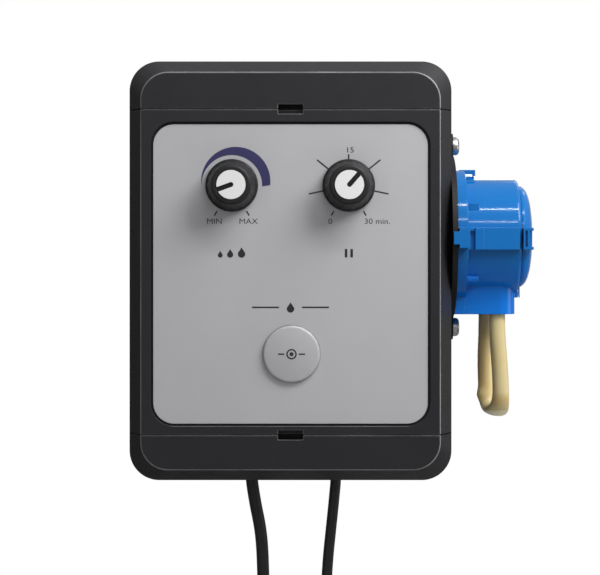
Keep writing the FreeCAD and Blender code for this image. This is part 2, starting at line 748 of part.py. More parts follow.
# ---- Knobs and potentiometers
def knob(x):
    """A tapered knob with grip ribs, hollow below, so that it clears the nut on the panel."""
    top_y = KNOB_Y - KNOB_H
    foot_y = KNOB_Y - KNOB_FOOT_H
    neck_y, neck_r = foot_y - KNOB_FOOT_SLOPE, KNOB_R - KNOB_FOOT_OUT
    body = turned_y(
        [
            (KNOB_Y, 0), (KNOB_Y, KNOB_R), (foot_y, KNOB_R - KNOB_FOOT_LEAN), (neck_y, neck_r),
            (top_y + KNOB_TOP_EDGE, KNOB_TOP_R), (top_y, KNOB_TOP_R - KNOB_TOP_EDGE), (top_y, 0),
        ],
        x,
        KNOB_Z,
    )
    taken = [
        rod_y(KNOB_HOLLOW_R, KNOB_Y - KNOB_HOLLOW_D, KNOB_Y + OVER, x, KNOB_Z),
        rod_y(SHAFT_R, KNOB_Y - SHAFT_IN_KNOB, KNOB_Y, x, KNOB_Z),
        rod_y(CAP_R, top_y - OVER, top_y + CAP_T - CAP_PROUD, x, KNOB_Z),
    ]
    for i in range(KNOB_RIBS):
        angle = 2 * math.pi * (i + 0.5) / KNOB_RIBS
        low = Vector(math.sin(angle), 0, math.cos(angle)) * (neck_r + RIB_R * RIB_OUT)
        high = Vector(math.sin(angle), 0, math.cos(angle)) * (KNOB_TOP_R + RIB_R * RIB_OUT)
        low += Vector(x, neck_y, KNOB_Z)
        high += Vector(x, top_y, KNOB_Z)
        lean = (high - low).normalize()
        taken.append(Part.makeCylinder(RIB_R, KNOB_H, low, lean))
    return [cut(body, taken)]


def knob_cap(x, pointer):
    top_y = KNOB_Y - KNOB_H
    cap = rod_y(CAP_R, top_y - CAP_PROUD, top_y + CAP_T - CAP_PROUD, x, KNOB_Z)
    half = POINTER_W / 2
    slot = box(
        x - half, x + half, top_y - CAP_PROUD - OVER, top_y - CAP_PROUD + POINTER_D,
        KNOB_Z, KNOB_Z + CAP_R + OVER,
    )
    tip = rod_y(half, top_y - CAP_PROUD - OVER, top_y - CAP_PROUD + POINTER_D, x, KNOB_Z)
    groove = slot.fuse(tip)
    groove.rotate(Vector(x, 0, KNOB_Z), Vector(0, 1, 0), pointer)
    return [cap.cut(groove)]


def pot_shaft(x):
    return [rod_y(SHAFT_R, KNOB_Y - SHAFT_IN_KNOB, LID_INNER_Y + POT_T - POT_END, x, KNOB_Z)]


def pot_pins(x):
    """The middle of each pin, as (x, z)."""
    return [(x + i * POT_PIN_STEP, KNOB_Z - POT_R - POT_PIN_DOWN) for i in (-1, 0, 1)]


def pot_body(x):
    can = rod_y(POT_R, LID_INNER_Y, LID_INNER_Y + POT_T, x, KNOB_Z)
    bushing = rod_y(BUSHING_R, PANEL_Y - BUSHING_OUT, LID_INNER_Y, x, KNOB_Z)
    start, half = LID_INNER_Y + POT_FOOT_T / 2, POT_PIN_W / 2
    pins = [
        box(
            pin_x - half, pin_x + half, start + POT_FOOT_T / 2, BOARD_Y + BOARD_T,
            pin_z - half, pin_z + half,
        )
        for pin_x, pin_z in pot_pins(x)
    ]
    foot = box(
        x - POT_FOOT_W / 2, x + POT_FOOT_W / 2, start, start + POT_FOOT_T,
        KNOB_Z - POT_R - POT_PIN_DOWN - POT_PIN_W, KNOB_Z - POT_R * POT_FOOT_IN,
    )
    bore = rod_y(
        SHAFT_R + SHAFT_CLEAR, PANEL_Y - BUSHING_OUT - OVER,
        LID_INNER_Y + POT_T - POT_END + SHAFT_CLEAR, x, KNOB_Z,
    )
    return [fused([can, bushing, foot] + pins).cut(bore)]


def pot_nuts():
    nuts = []
    for x in (LEFT_X, RIGHT_X):
        corners = [
            Vector(
                x + NUT_R * math.cos(math.pi * i / 3),
                PANEL_Y,
                KNOB_Z + NUT_R * math.sin(math.pi * i / 3),
            )
            for i in range(6)
        ]
        hexagon = Part.Face(Part.makePolygon(corners + corners[:1]))
        nut = hexagon.extrude(Vector(0, -NUT_T, 0))
        bore = rod_y(BUSHING_R + NUT_CLEAR, PANEL_Y - NUT_T - OVER, PANEL_Y + OVER, x, KNOB_Z)
        nuts.append(nut.cut(bore))
    return nuts


# ---- Push button
def lip_y():
    return LID_INNER_Y + BUTTON_TRAVEL / 4


def push_button():
    """A domed disc with a stem; a lip behind the lid's wall keeps it from coming out."""
    rise = BUTTON_RISE
    dome_r = (BUTTON_R**2 + rise**2) / (2 * rise)
    dome = Part.makeSphere(dome_r, Vector(BUTTON_X, BUTTON_TOP_Y - rise + dome_r, BUTTON_Z))
    back = lip_y() + BUTTON_LIP_T
    disc = rod_y(BUTTON_R, BUTTON_TOP_Y - rise, back, BUTTON_X, BUTTON_Z).common(dome)
    rim = [e for e in disc.Edges if abs(e.BoundBox.YMax - BUTTON_TOP_Y) < 0.05]
    disc = disc.makeFillet(BUTTON_EDGE_R, rim)
    hollow = rod_y(BUTTON_R - BUTTON_WALL, BUTTON_TOP_Y + BUTTON_T, back + OVER, BUTTON_X, BUTTON_Z)
    lip = rod_y(BUTTON_R + BUTTON_LIP, lip_y(), back, BUTTON_X, BUTTON_Z)
    lip = lip.cut(hollow)
    stem = rod_y(STEM_R, BUTTON_TOP_Y + BUTTON_T / 2, stem_end_y(), BUTTON_X, BUTTON_Z)
    return [fused([disc.cut(hollow), lip, stem])]


def stem_end_y():
    return BOARD_Y - SWITCH_H - BUTTON_TRAVEL - SWITCH_CLEAR


def button_guide():
    end = stem_end_y()
    ring = rod_y(GUIDE_R, end - GUIDE_L + BUTTON_TRAVEL, BOARD_Y, BUTTON_X, BUTTON_Z)
    bore = rod_y(STEM_R + STEM_CLEAR, end - GUIDE_L, BOARD_Y + OVER, BUTTON_X, BUTTON_Z)
    return [ring.cut(bore)]


def button_dome():
    """A rubber cone that stands on the board and pushes the button back out."""
    top_y = BUTTON_TOP_Y + BUTTON_T
    wide, narrow = DOME_R, GUIDE_R + DOME_FROM_GUIDE
    return [
        turned_y(
            [
                (BOARD_Y, wide), (BOARD_Y, wide - DOME_FOOT), (BOARD_Y - DOME_T, wide - DOME_FOOT),
                (top_y, narrow), (top_y, narrow + DOME_T), (BOARD_Y - DOME_T, wide),
            ],
            BUTTON_X,
            BUTTON_Z,
        )
    ]


def push_switch():
    return [rod_y(SWITCH_R, BOARD_Y - SWITCH_H, BOARD_Y, BUTTON_X, BUTTON_Z)]


# ---- Electronics
def board_corners():
    x = BOARD_W / 2 - BOARD_SCREW_IN
    z = BOARD_H / 2 - BOARD_SCREW_IN
    return corner_places(x, z)


def circuit_board():
    board = plate(BOARD_W, BOARD_H, BOARD_CORNER_R, BOARD_Y, BOARD_Y + BOARD_T)
    holes = [
        rod_y(BOARD_SCREW_R + SCREW_CLEAR, BOARD_Y - OVER, BOARD_Y + BOARD_T + OVER, x, z)
        for x, z in board_corners()
    ]
    pin_hole = POT_PIN_W / 2 + POT_PIN_CLEAR
    for x, z in pot_pins(LEFT_X) + pot_pins(RIGHT_X):
        holes.append(rod_y(pin_hole, BOARD_Y - OVER, BOARD_Y + BOARD_T + OVER, x, z))
    return [cut(board, holes)]


def board_screws():
    screws = []
    back = BOARD_Y + BOARD_T
    for x, z in board_corners():
        head = rod_y(BOARD_HEAD_R, back, back + BOARD_HEAD_T, x, z)
        shank = rod_y(BOARD_SCREW_R, BOARD_Y - BOARD_SCREW_LONG, back, x, z)
        slot = box(
            x - BOARD_HEAD_R, x + BOARD_HEAD_R, back + BOARD_HEAD_T / 2, back + BOARD_HEAD_T,
            z - SLOT_W / 2, z + SLOT_W / 2,
        )
        screws.append(fused([head, shank]).cut(slot))
    return screws


def core_feet():
    x, z = CORE_W / 2 - CORE_FOOT_IN, CORE_H / 2 - CORE_FOOT_IN
    return [(CORE_X + sx * x, CORE_Z + sz * z) for sx in (-1, 1) for sz in (-1, 1)]


def core_front_y():
    return -WALL - COIL_OUT - CORE_D


def transformer_core():
    """The iron core: a frame with a middle bar, which the windings go round."""
    back = -WALL - COIL_OUT
    front = core_front_y()
    x0, x1 = CORE_X - CORE_W / 2, CORE_X + CORE_W / 2
    z0, z1 = CORE_Z - CORE_H / 2, CORE_Z + CORE_H / 2
    block = box(x0, x1, front, back, z0, z1)
    half = COIL_W / 2 + COIL_GAP / 2
    arm = CORE_H / 4
    windows = [
        box(CORE_X - half, CORE_X + half, front - OVER, back + OVER, z0 + arm / 2, CORE_Z - arm / 2),
        box(CORE_X - half, CORE_X + half, front - OVER, back + OVER, CORE_Z + arm / 2, z1 - arm / 2),
    ]
    return [cut(block, windows)]


def transformer_coil():
    arm = CORE_H / 4
    back = -WALL - COIL_CLEAR
    front = core_front_y() - COIL_OUT + COIL_CLEAR
    high = CORE_H / 2 - arm / 2 - COIL_END_CLEAR
    coil = box(
        CORE_X - COIL_W / 2, CORE_X + COIL_W / 2, front, back, CORE_Z - high, CORE_Z + high
    )
    bar = box(
        CORE_X - COIL_W, CORE_X + COIL_W, core_front_y(), -WALL - COIL_OUT,
        CORE_Z - arm / 2, CORE_Z + arm / 2,
    )
    return [coil.cut(bar)]


def terminal_middle_x():
    return (MAINS_X + SIGNAL_X) / 2


def terminal_z():
    return (MAINS_ROUTE[0][2], MAINS_ROUTE[0][2] + TERMINAL_H)


def terminal_bench():
    low, high = terminal_z()
    half = TERMINAL_W / 2
    x = terminal_middle_x()
    return box(x - half, x + half, CABLE_Y + TERMINAL_D / 2, -WALL, low, high)


def terminal_block():
    low, high = terminal_z()
    half, x = TERMINAL_W / 2, terminal_middle_x()
    front = CABLE_Y - TERMINAL_D / 2
    block = box(x - half, x + half, front, front + TERMINAL_D, low, high)
    step = TERMINAL_W / TERMINAL_WAYS
    wells = [
        rod_y(
            TERMINAL_WELL_R, front - OVER, front + TERMINAL_WELL_D,
            x - half + step * (i + 0.5), (low + high) / 2,
        )
        for i in range(TERMINAL_WAYS)
    ]
    return [cut(block, wells)]


# ---- Cable entries
def grommet(x, radius):
    bottom = -BODY_H / 2
    outer = radius + GROMMET_CLEAR + GROMMET_WALL
    body = rod_z(outer, bottom, bottom + WALL, x, CABLE_Y)
    lip = rod_z(outer + GROMMET_LIP, bottom - GROMMET_LIP_T, bottom, x, CABLE_Y)
    rim = [e for e in lip.Edges if abs(e.BoundBox.ZMax - bottom + GROMMET_LIP_T) < TOUCH]
    lip = lip.makeFillet(GROMMET_EDGE_R, rim)
    collar = rod_z(outer + GROMMET_LIP, bottom + WALL, bottom + WALL + GROMMET_COLLAR_T, x, CABLE_Y)
    top = bottom + WALL + GROMMET_COLLAR_T
    hole = rod_z(radius + GROMMET_CLEAR, bottom - GROMMET_LIP_T - OVER, top + OVER, x, CABLE_Y)
    return [fused([body, lip, collar]).cut(hole)]


def cable_clamps():
    clamps = []
    for x, radius in cable_places():
        z = clamp_z()
        seat = CABLE_Y - radius - CLAMP_GRIP
        bar = box(
            x - CLAMP_W / 2, x + CLAMP_W / 2, seat - CLAMP_T, CABLE_Y + radius + CLAMP_GRIP,
            z - CLAMP_H / 2, z + CLAMP_H / 2,
        )
        way = rod_z(radius + CLAMP_GRIP, z - CLAMP_H, z + CLAMP_H, x, CABLE_Y)
        lower = box(
            x - radius - CLAMP_GRIP, x + radius + CLAMP_GRIP, CABLE_Y,
            CABLE_Y + radius + CLAMP_GRIP + OVER, z - CLAMP_H, z + CLAMP_H,
        )
        holes = [
            rod_y(
                CLAMP_SCREW_R + SCREW_CLEAR,
                seat - CLAMP_T - OVER,
                CABLE_Y + radius + CLAMP_GRIP + OVER,
                x + side * (CLAMP_W / 2 - CLAMP_HEAD_R - CLAMP_HEAD_IN),
                z,
            )
            for side in (-1, 1)
        ]
        clamps.append(cut(bar, [way, lower] + holes))
    return clamps


def clamp_screws():
    screws = []
    for x, radius in cable_places():
        for side in (-1, 1):
            at = x + side * (CLAMP_W / 2 - CLAMP_HEAD_R - CLAMP_HEAD_IN)
            front = CABLE_Y - radius - CLAMP_GRIP - CLAMP_T
            head = rod_y(CLAMP_HEAD_R, front - CLAMP_HEAD_T, front, at, clamp_z())
            tip = CABLE_Y + radius + CLAMP_GRIP + CLAMP_SCREW_LONG - SCREW_END_CLEAR
            screws.append(fused([head, rod_y(CLAMP_SCREW_R, front, tip, at, clamp_z())]))
    return screws


# ---- Free cords: a tube to the coil, the coil's own shape, and a short tail to the plug
def coil_centre(route, radius, side):
    x, y, z = route[-1]
    return Vector(x + side * COIL_MID * 2 * radius, y, z)


def coil_ring(route, radius, side):
    """The outer shape of a neat coil, whose inner side the cable comes down to."""
    centre = coil_centre(route, radius, side)
    middle_r, half_w, half_h = COIL_MID * 2 * radius, COIL_WIDE * radius, COIL_HIGH * radius
    back = centre - Vector(0, half_w, 0)
    ring = Part.makeCylinder(middle_r + half_h, 2 * half_w, back, Vector(0, 1, 0))
    hole = Part.makeCylinder(middle_r - half_h, 2 * half_w, back, Vector(0, 1, 0))
    return ring.cut(hole)


def cable(name, route, radius, side):
    """The cable down to its coil, and the tail from the coil to what is on its end."""
    ring = coil_ring(route, radius, side)
    x, y, z = route[-1]
    lead = tube_along(name, route[:-1] + [(x, y, z + radius * COIL_HIGH)], radius)
    tail = rod_z(radius, z - TAIL, z - radius * COIL_HIGH, x, y)
    return [lead.cut(ring), tail.cut(ring)]


def tie(route, radius, side):
    """A strap round the turns, at the top of the coil."""
    centre = coil_centre(route, radius, side)
    middle_r, half_w, half_h = COIL_MID * 2 * radius, COIL_WIDE * radius, COIL_HIGH * radius
    strap = box(
        centre.x - TIE_W / 2, centre.x + TIE_W / 2,
        centre.y - half_w - TIE_T, centre.y + half_w + TIE_T,
        centre.z + middle_r - half_h - TIE_T, centre.z + middle_r + half_h + TIE_T,
    )
    return strap.cut(coil_ring(route, radius, side))


def cable_ties():
    return [tie(MAINS_ROUTE, MAINS_R, -1), tie(SIGNAL_ROUTE, SIGNAL_R, 1)]


def cable_neck(radius, wide_r, top):
    """A cone that widens downwards, from the cable to what is on its end."""
    return Part.makeCone(radius + NECK_WALL, wide_r, PLUG_NECK_L, top, Vector(0, 0, -1))


def mains_plug():
    """A slim two-pin plug that hangs with its pins down."""
    x, y, z = MAINS_ROUTE[-1]
    top = z - TAIL
    neck = cable_neck(MAINS_R, PLUG_NECK_R, Vector(x, y, top))
    body_top = top - PLUG_NECK_L
    body = box(
        x - PLUG_W / 2, x + PLUG_W / 2, y - PLUG_T / 2, y + PLUG_T / 2, body_top - PLUG_BODY_L, body_top
    )
    body = body.makeFillet(PLUG_EDGE_R, [e for e in body.Edges if e.BoundBox.ZLength > 1])
    top_edges = [e for e in body.Edges if e.BoundBox.ZMin > body_top - TOUCH]
    body = body.makeChamfer(PLUG_SHOULDER, top_edges)
    pins = [
        rod_z(PIN_R, body_top - PLUG_BODY_L - PIN_L, body_top - PLUG_BODY_L, x + s * PIN_APART / 2, y)
        for s in (-1, 1)
    ]
    return [fused([neck, body] + pins)]


def signal_connector():
    """A round plug with a grip sleeve and one barrel contact."""
    x, y, z = SIGNAL_ROUTE[-1]
    top = z - TAIL
    neck = cable_neck(SIGNAL_R, JACK_NECK_R, Vector(x, y, top))
    body_top = top - PLUG_NECK_L
    body = rod_z(JACK_R, body_top - JACK_L, body_top, x, y)
    body = body.makeChamfer(JACK_EDGE, body.Edges)
    pin = rod_z(JACK_PIN_R, body_top - JACK_L - JACK_PIN_L, body_top - JACK_L, x, y)
    return [fused([neck, body, pin])]


# ---- Pump drive
def ear_heights():
    return [PUMP_Z - EAR_Z, PUMP_Z + EAR_Z]


def pump_flange():
    """A black disc on the box's side, with an ear above and below for its screws."""
    disc = rod_x(FLANGE_R, SIDE_X, FLANGE_X, PUMP_Y, PUMP_Z)
    added, taken = [disc], []
    for z in ear_heights():
        added.append(rod_x(EAR_R, SIDE_X, FLANGE_X, PUMP_Y, z))
        low, high = sorted((z, PUMP_Z))
        added.append(box(SIDE_X, FLANGE_X, PUMP_Y - EAR_R, PUMP_Y + EAR_R, low, high))
        taken.append(rod_x(EAR_SCREW_R + SCREW_CLEAR, SIDE_X - OVER, FLANGE_X + OVER, PUMP_Y, z))
    taken.append(rod_x(BOSS_R + BOSS_CLEAR, SIDE_X - OVER, FLANGE_X + OVER, PUMP_Y, PUMP_Z))
    for y, z in gearbox_screw_places():
        taken.append(rod_x(GEARBOX_SCREW_R + SCREW_CLEAR, SIDE_X - OVER, FLANGE_X + OVER, y, z))
        well = GEARBOX_HEAD_R + SCREW_HOLE_CLEAR
        taken.append(rod_x(well, SIDE_X + GEARBOX_SEAT, FLANGE_X + OVER, y, z))
    return [cut(fused(added), taken)]


def flange_screws():
    """Two pan-head machine screws with a cross recess."""
    screws = []
    for z in ear_heights():
        head = rod_x(PAN_R, FLANGE_X, FLANGE_X + PAN_T, PUMP_Y, z)
        rim = [e for e in head.Edges if abs(e.BoundBox.XMin - FLANGE_X - PAN_T) < TOUCH]
        head = head.makeFillet(PAN_T * PAN_ROUND, rim)
        deep = FLANGE_X + PAN_T * (1 - CROSS_DEEP)
        recess = [
            box(deep, FLANGE_X + PAN_T + OVER, PUMP_Y - a, PUMP_Y + a, z - b, z + b)
            for a, b in ((CROSS_HALF_L, CROSS_HALF_W), (CROSS_HALF_W, CROSS_HALF_L))
        ]
        shank = rod_x(EAR_SCREW_R, SIDE_X - WALL - EAR_NUT_T - EAR_SCREW_PAST, FLANGE_X, PUMP_Y, z)
        screws.append(cut(fused([head, shank]), recess))
    return screws


def hex_nut_x(radius, bore, x0, x1, y, z):
    corners = [
        Vector(x0, y + radius * math.cos(math.pi * i / 3), z + radius * math.sin(math.pi * i / 3))
        for i in range(6)
    ]
    nut = Part.Face(Part.makePolygon(corners + corners[:1])).extrude(Vector(x1 - x0, 0, 0))
    return nut.cut(rod_x(bore, x0 - OVER, x1 + OVER, y, z))


def flange_nuts():
    inside = SIDE_X - WALL
    return [
        hex_nut_x(EAR_NUT_R, EAR_SCREW_R + NUT_CLEAR, inside - EAR_NUT_T, inside, PUMP_Y, z)
        for z in ear_heights()
    ]


def gearbox_screw_places():
    places = []
    for i in range(GEARBOX_SCREWS):
        angle = math.radians(-90 + 360 * i / GEARBOX_SCREWS)
        places.append(
            (PUMP_Y + GEARBOX_SCREW_AT * math.cos(angle), PUMP_Z + GEARBOX_SCREW_AT * math.sin(angle))
        )
    return places


def gearbox_screws():
    screws = []
    for y, z in gearbox_screw_places():
        top, seat = FLANGE_X - GEARBOX_HEAD_DOWN, SIDE_X + GEARBOX_SEAT
        head = rod_x(GEARBOX_HEAD_R, seat, top, y, z)
        shank = rod_x(GEARBOX_SCREW_R, FLANGE_X - GEARBOX_SCREW_LONG, seat, y, z)
        slot = box(
            top - GEARBOX_SLOT_D, FLANGE_X, y - GEARBOX_HEAD_R, y + GEARBOX_HEAD_R,
            z - SLOT_W / 2, z + SLOT_W / 2,
        )
        screws.append(fused([head, shank]).cut(slot))
    return screws


def stadium_x(radius, x0, x1):
    """Two discs round the output and idler axes, and what lies between them."""
    top_z = PUMP_Z + GEAR_CENTRES
    return fused(
        [
            rod_x(radius, x0, x1, PUMP_Y, PUMP_Z),
            rod_x(radius, x0, x1, PUMP_Y, top_z),
            box(x0, x1, PUMP_Y - radius, PUMP_Y + radius, PUMP_Z, top_z),
        ]
    )


def case_room():
    return GEAR_MODULE * (WHEEL_TEETH / 2 + GEAR_TIP) + CASE_CLEAR


def gearbox_case():
    inside = SIDE_X - WALL
    outer = stadium_x(case_room() + CASE_T, CASE_BACK_X, inside)
    room = stadium_x(case_room(), CASE_BACK_X - OVER, inside - CASE_T)
    boss = rod_x(BOSS_R, inside - BOSS_SINK, FLANGE_X, PUMP_Y, PUMP_Z)
    bore = rod_x(BUSH_R, inside - CASE_T - OVER, FLANGE_X + OVER, PUMP_Y, PUMP_Z)
    pin = rod_x(IDLER_PIN_R, inside - CASE_T - OVER, inside - PIN_WALL, PUMP_Y, PUMP_Z + GEAR_CENTRES)
    taken = [room, bore, pin]
    for y, z in gearbox_screw_places():
        taken.append(rod_x(GEARBOX_SCREW_R + SCREW_CLEAR, inside - CASE_T - OVER, inside + OVER, y, z))
    return [cut(outer.fuse(boss), taken)]


def gearbox_cover():
    plate_ = stadium_x(case_room() + CASE_T, MOTOR_X, CASE_BACK_X)
    holes = [
        rod_x(MOTOR_SHAFT_R + MOTOR_SHAFT_ROOM, MOTOR_X - OVER, CASE_BACK_X + OVER, PUMP_Y, PUMP_Z),
        rod_x(IDLER_PIN_R, MOTOR_X + PIN_WALL, CASE_BACK_X + OVER, PUMP_Y, PUMP_Z + GEAR_CENTRES),
    ]
    return [cut(plate_, holes)]


def idler_pin():
    end = SIDE_X - WALL - PIN_WALL
    return [rod_x(IDLER_PIN_R, MOTOR_X + PIN_WALL, end, PUMP_Y, PUMP_Z + GEAR_CENTRES)]


def motor_can():
    can = rod_x(MOTOR_R, MOTOR_X - MOTOR_L, MOTOR_X, PUMP_Y, PUMP_Z)
    can = can.makeFillet(MOTOR_EDGE_R, [can.Edges[0]] if can.Edges[0].Length > 1 else [])
    bore_end = MOTOR_X - MOTOR_L * MOTOR_BORE_L
    bore = rod_x(MOTOR_SHAFT_R + SHAFT_CLEAR, bore_end, MOTOR_X + OVER, PUMP_Y, PUMP_Z)
    return [can.cut(bore)]


def gear(teeth, x0, x1, z, bore, tooth_up):
    """A spur gear; a tooth or a gap stands on the line to the other gear's axis."""
    pitch_r = GEAR_MODULE * teeth / 2
    tip_r, root_r = pitch_r + GEAR_TIP * GEAR_MODULE, pitch_r - GEAR_ROOT * GEAR_MODULE
    step = 2 * math.pi / teeth
    half = step / 4 * TOOTH_T
    points = []
    for i in range(teeth):
        middle = step * (i + (0.0 if tooth_up else 0.5)) + math.pi / 2
        flanks = [(root_r, TOOTH_ROOT), (pitch_r, 1.0), (tip_r, TOOTH_TIP)]
        for r, wide in flanks:
            points.append((r, middle - half * wide))
        for r, wide in reversed(flanks):
            points.append((r, middle + half * wide))
    ring = [Vector(x0, PUMP_Y + r * math.cos(a), z + r * math.sin(a)) for r, a in points]
    wheel = Part.Face(Part.makePolygon(ring + ring[:1])).extrude(Vector(x1 - x0, 0, 0))
    return wheel.cut(rod_x(bore, x0 - OVER, x1 + OVER, PUMP_Y, z)) if bore else wheel


def output_gear():
    return [gear(WHEEL_TEETH, WHEEL_X, WHEEL_X + GEAR_W, PUMP_Z, DRIVE_R, True)]


def idler_gear():
    """The compound gear: the wheel that the motor turns and the pinion that turns the output."""
    z, bore = PUMP_Z + GEAR_CENTRES, IDLER_PIN_R + DRIVE_CLEAR
    wheel = gear(WHEEL_TEETH, FIRST_WHEEL_X, FIRST_WHEEL_X + GEAR_W, z, bore, False)
    end = WHEEL_X + GEAR_W + PINION_OVER
    pinion = gear(PINION_TEETH, FIRST_WHEEL_X + GEAR_W, end, z, bore, False)
    return [wheel.fuse(pinion)]


def motor_pinion():
    start, end = FIRST_WHEEL_X - PINION_OVER, FIRST_WHEEL_X + GEAR_W + PINION_OVER
    pinion = gear(PINION_TEETH, start, end, PUMP_Z, 0, True)
    shaft = rod_x(MOTOR_SHAFT_R, MOTOR_X - MOTOR_L * MOTOR_SHAFT_L, start, PUMP_Y, PUMP_Z)
    return [pinion.fuse(shaft)]


def drive_shaft():
    return [rod_x(DRIVE_R, WHEEL_X, COVER_X + SHAFT_IN_COVER, PUMP_Y, PUMP_Z)]


def shaft_bush():
    ring = rod_x(BUSH_R, SIDE_X - WALL - CASE_T, FLANGE_X, PUMP_Y, PUMP_Z)
    bore = rod_x(DRIVE_R + DRIVE_CLEAR, SIDE_X - WALL - CASE_T - OVER, FLANGE_X + OVER, PUMP_Y, PUMP_Z)
    return [ring.cut(bore)]


# ---- Pump head
def near_far_box(x0, x1, y_in, y_out, z0, z1):
    """The same block on the head's near and far sides, given from the pump's axis."""
    return [
        box(x0, x1, PUMP_Y - y_out, PUMP_Y - y_in, PUMP_Z + z0, PUMP_Z + z1),
        box(x0, x1, PUMP_Y + y_in, PUMP_Y + y_out, PUMP_Z + z0, PUMP_Z + z1),
    ]


def block_base(x0, x1):
    return box(
        x0, x1, PUMP_Y - BLOCK_HALF_Y, PUMP_Y + BLOCK_HALF_Y, PUMP_Z + BLOCK_BOTTOM, PUMP_Z + BLOCK_TOP
    )


def ports():
    """Where the tube leaves: the near port stands a little further out than the far one."""
    return [
        (TUBE_X + PORT_SHIFT, PUMP_Y - PORT_Y),
        (TUBE_X - PORT_SHIFT, PUMP_Y + PORT_Y),
    ]


def head_base():
    """A blue plate with a latch tab on each side, which holds the flange's rim, and a top arm."""
    disc = rod_x(BASE_R, FLANGE_X, BASE_X, PUMP_Y, PUMP_Z)
    added = [disc, block_base(FLANGE_X, BASE_X)]
    rim = FLANGE_R + LATCH_CLEAR
    out = rim + LATCH_T
    added += near_far_box(FLANGE_X + LATCH_CLEAR, BASE_X, BASE_R - SINK, out, *LATCH_WIDE)
    added += near_far_box(
        SIDE_X + LATCH_CLEAR, FLANGE_X + 2 * LATCH_CLEAR, rim, out, *LATCH_NARROW
    )
    top, arm_x = PUMP_Z + BASE_R, BASE_X + ARM_L
    near, far = PUMP_Y - ARM_W / 2, PUMP_Y + ARM_W / 2
    added.append(box(BASE_X - BASE_T / 2, arm_x, near, far, top - ARM_T, top))
    added.append(box(arm_x - ARM_HOOK_L, arm_x, near, far, top - ARM_T - ARM_HOOK_T, top))
    bore = rod_x(BOSS_R + BOSS_CLEAR, FLANGE_X - OVER, BASE_X + OVER, PUMP_Y, PUMP_Z)
    return [fused(added).cut(bore)]


def band_z():
    return BAND_Z - BAND_H / 2, BAND_Z + BAND_H / 2


def foot_box(x0, x1):
    low, high = FOOT_Z
    return box(x0, x1, PUMP_Y - FOOT_W / 2, PUMP_Y + FOOT_W / 2, PUMP_Z + low, PUMP_Z + high)


def head_housing():
    """The cup that holds the tube against the rollers, with the block for its two ends."""
    cup = rod_x(HOUSING_R, BASE_X, HOUSING_X, PUMP_Y, PUMP_Z)
    rim = [
        e
        for e in cup.Edges
        if abs(e.BoundBox.XMin - HOUSING_X) < TOUCH and e.BoundBox.XLength < TOUCH
    ]
    cup = cup.makeFillet(HOUSING_EDGE, rim)
    block = block_base(BASE_X, BASE_X + BLOCK_L)
    upright = [
        e
        for e in block.Edges
        if e.BoundBox.ZLength > 1 and e.BoundBox.XMax > BASE_X + BLOCK_L - TOUCH
    ]
    block = block.makeFillet(BLOCK_EDGE_R, upright)
    added = [cup, block, foot_box(HOUSING_X - FOOT_L, HOUSING_X)]
    low, high = band_z()
    wall, out = HOUSING_R - SINK, HOUSING_R + BAND_OUT
    pad0, pad1 = BAND_PAD_X
    added += near_far_box(BASE_X, HOUSING_X - BAND_SHORT, wall, out, low, high)
    added += near_far_box(BASE_X + pad0, BASE_X + pad1, wall, out + BAND_PAD, low, high)
    added += near_far_box(BASE_X, BASE_X + LUG_L, *UPPER_LUG_Y, *UPPER_LUG_Z)
    for side in (-1, 1):
        lug_y, lug_z = PUMP_Y + side * LOWER_LUG_Y, PUMP_Z + LOWER_LUG_Z
        added.append(rod_x(LOWER_LUG_R, BASE_X, BASE_X + LUG_L, lug_y, lug_z))
    catch0, catch1 = CATCH_X
    added.append(
        box(
            BASE_X + catch0, BASE_X + catch1, PUMP_Y - CATCH_W / 2, PUMP_Y + CATCH_W / 2,
            PUMP_Z + HOUSING_R - CATCH_IN, PUMP_Z + HOUSING_R + CATCH_OUT,
        )
    )
    slot0, slot1 = BAND_SLOT_X
    taken = near_far_box(
        BASE_X + slot0, BASE_X + slot1, out - BAND_SLOT_IN, out + BAND_PAD + OVER,
        low - OVER, high - BAND_SLOT_IN,
    )
    taken.append(rod_x(TRACK_R, TRACK_X, HOUSING_X + OVER, PUMP_Y, PUMP_Z))
    taken.append(rod_x(DRIVE_R + DRIVE_ROOM, BASE_X - OVER, TRACK_X + OVER, PUMP_Y, PUMP_Z))
    for x, y in ports():
        taken.append(
            rod_z(TUBE_R + TUBE_CLEAR, PORT_BOTTOM_Z - OVER, PUMP_Z + BLOCK_TOP, x, y)
        )
    return [cut(fused(added), taken)]


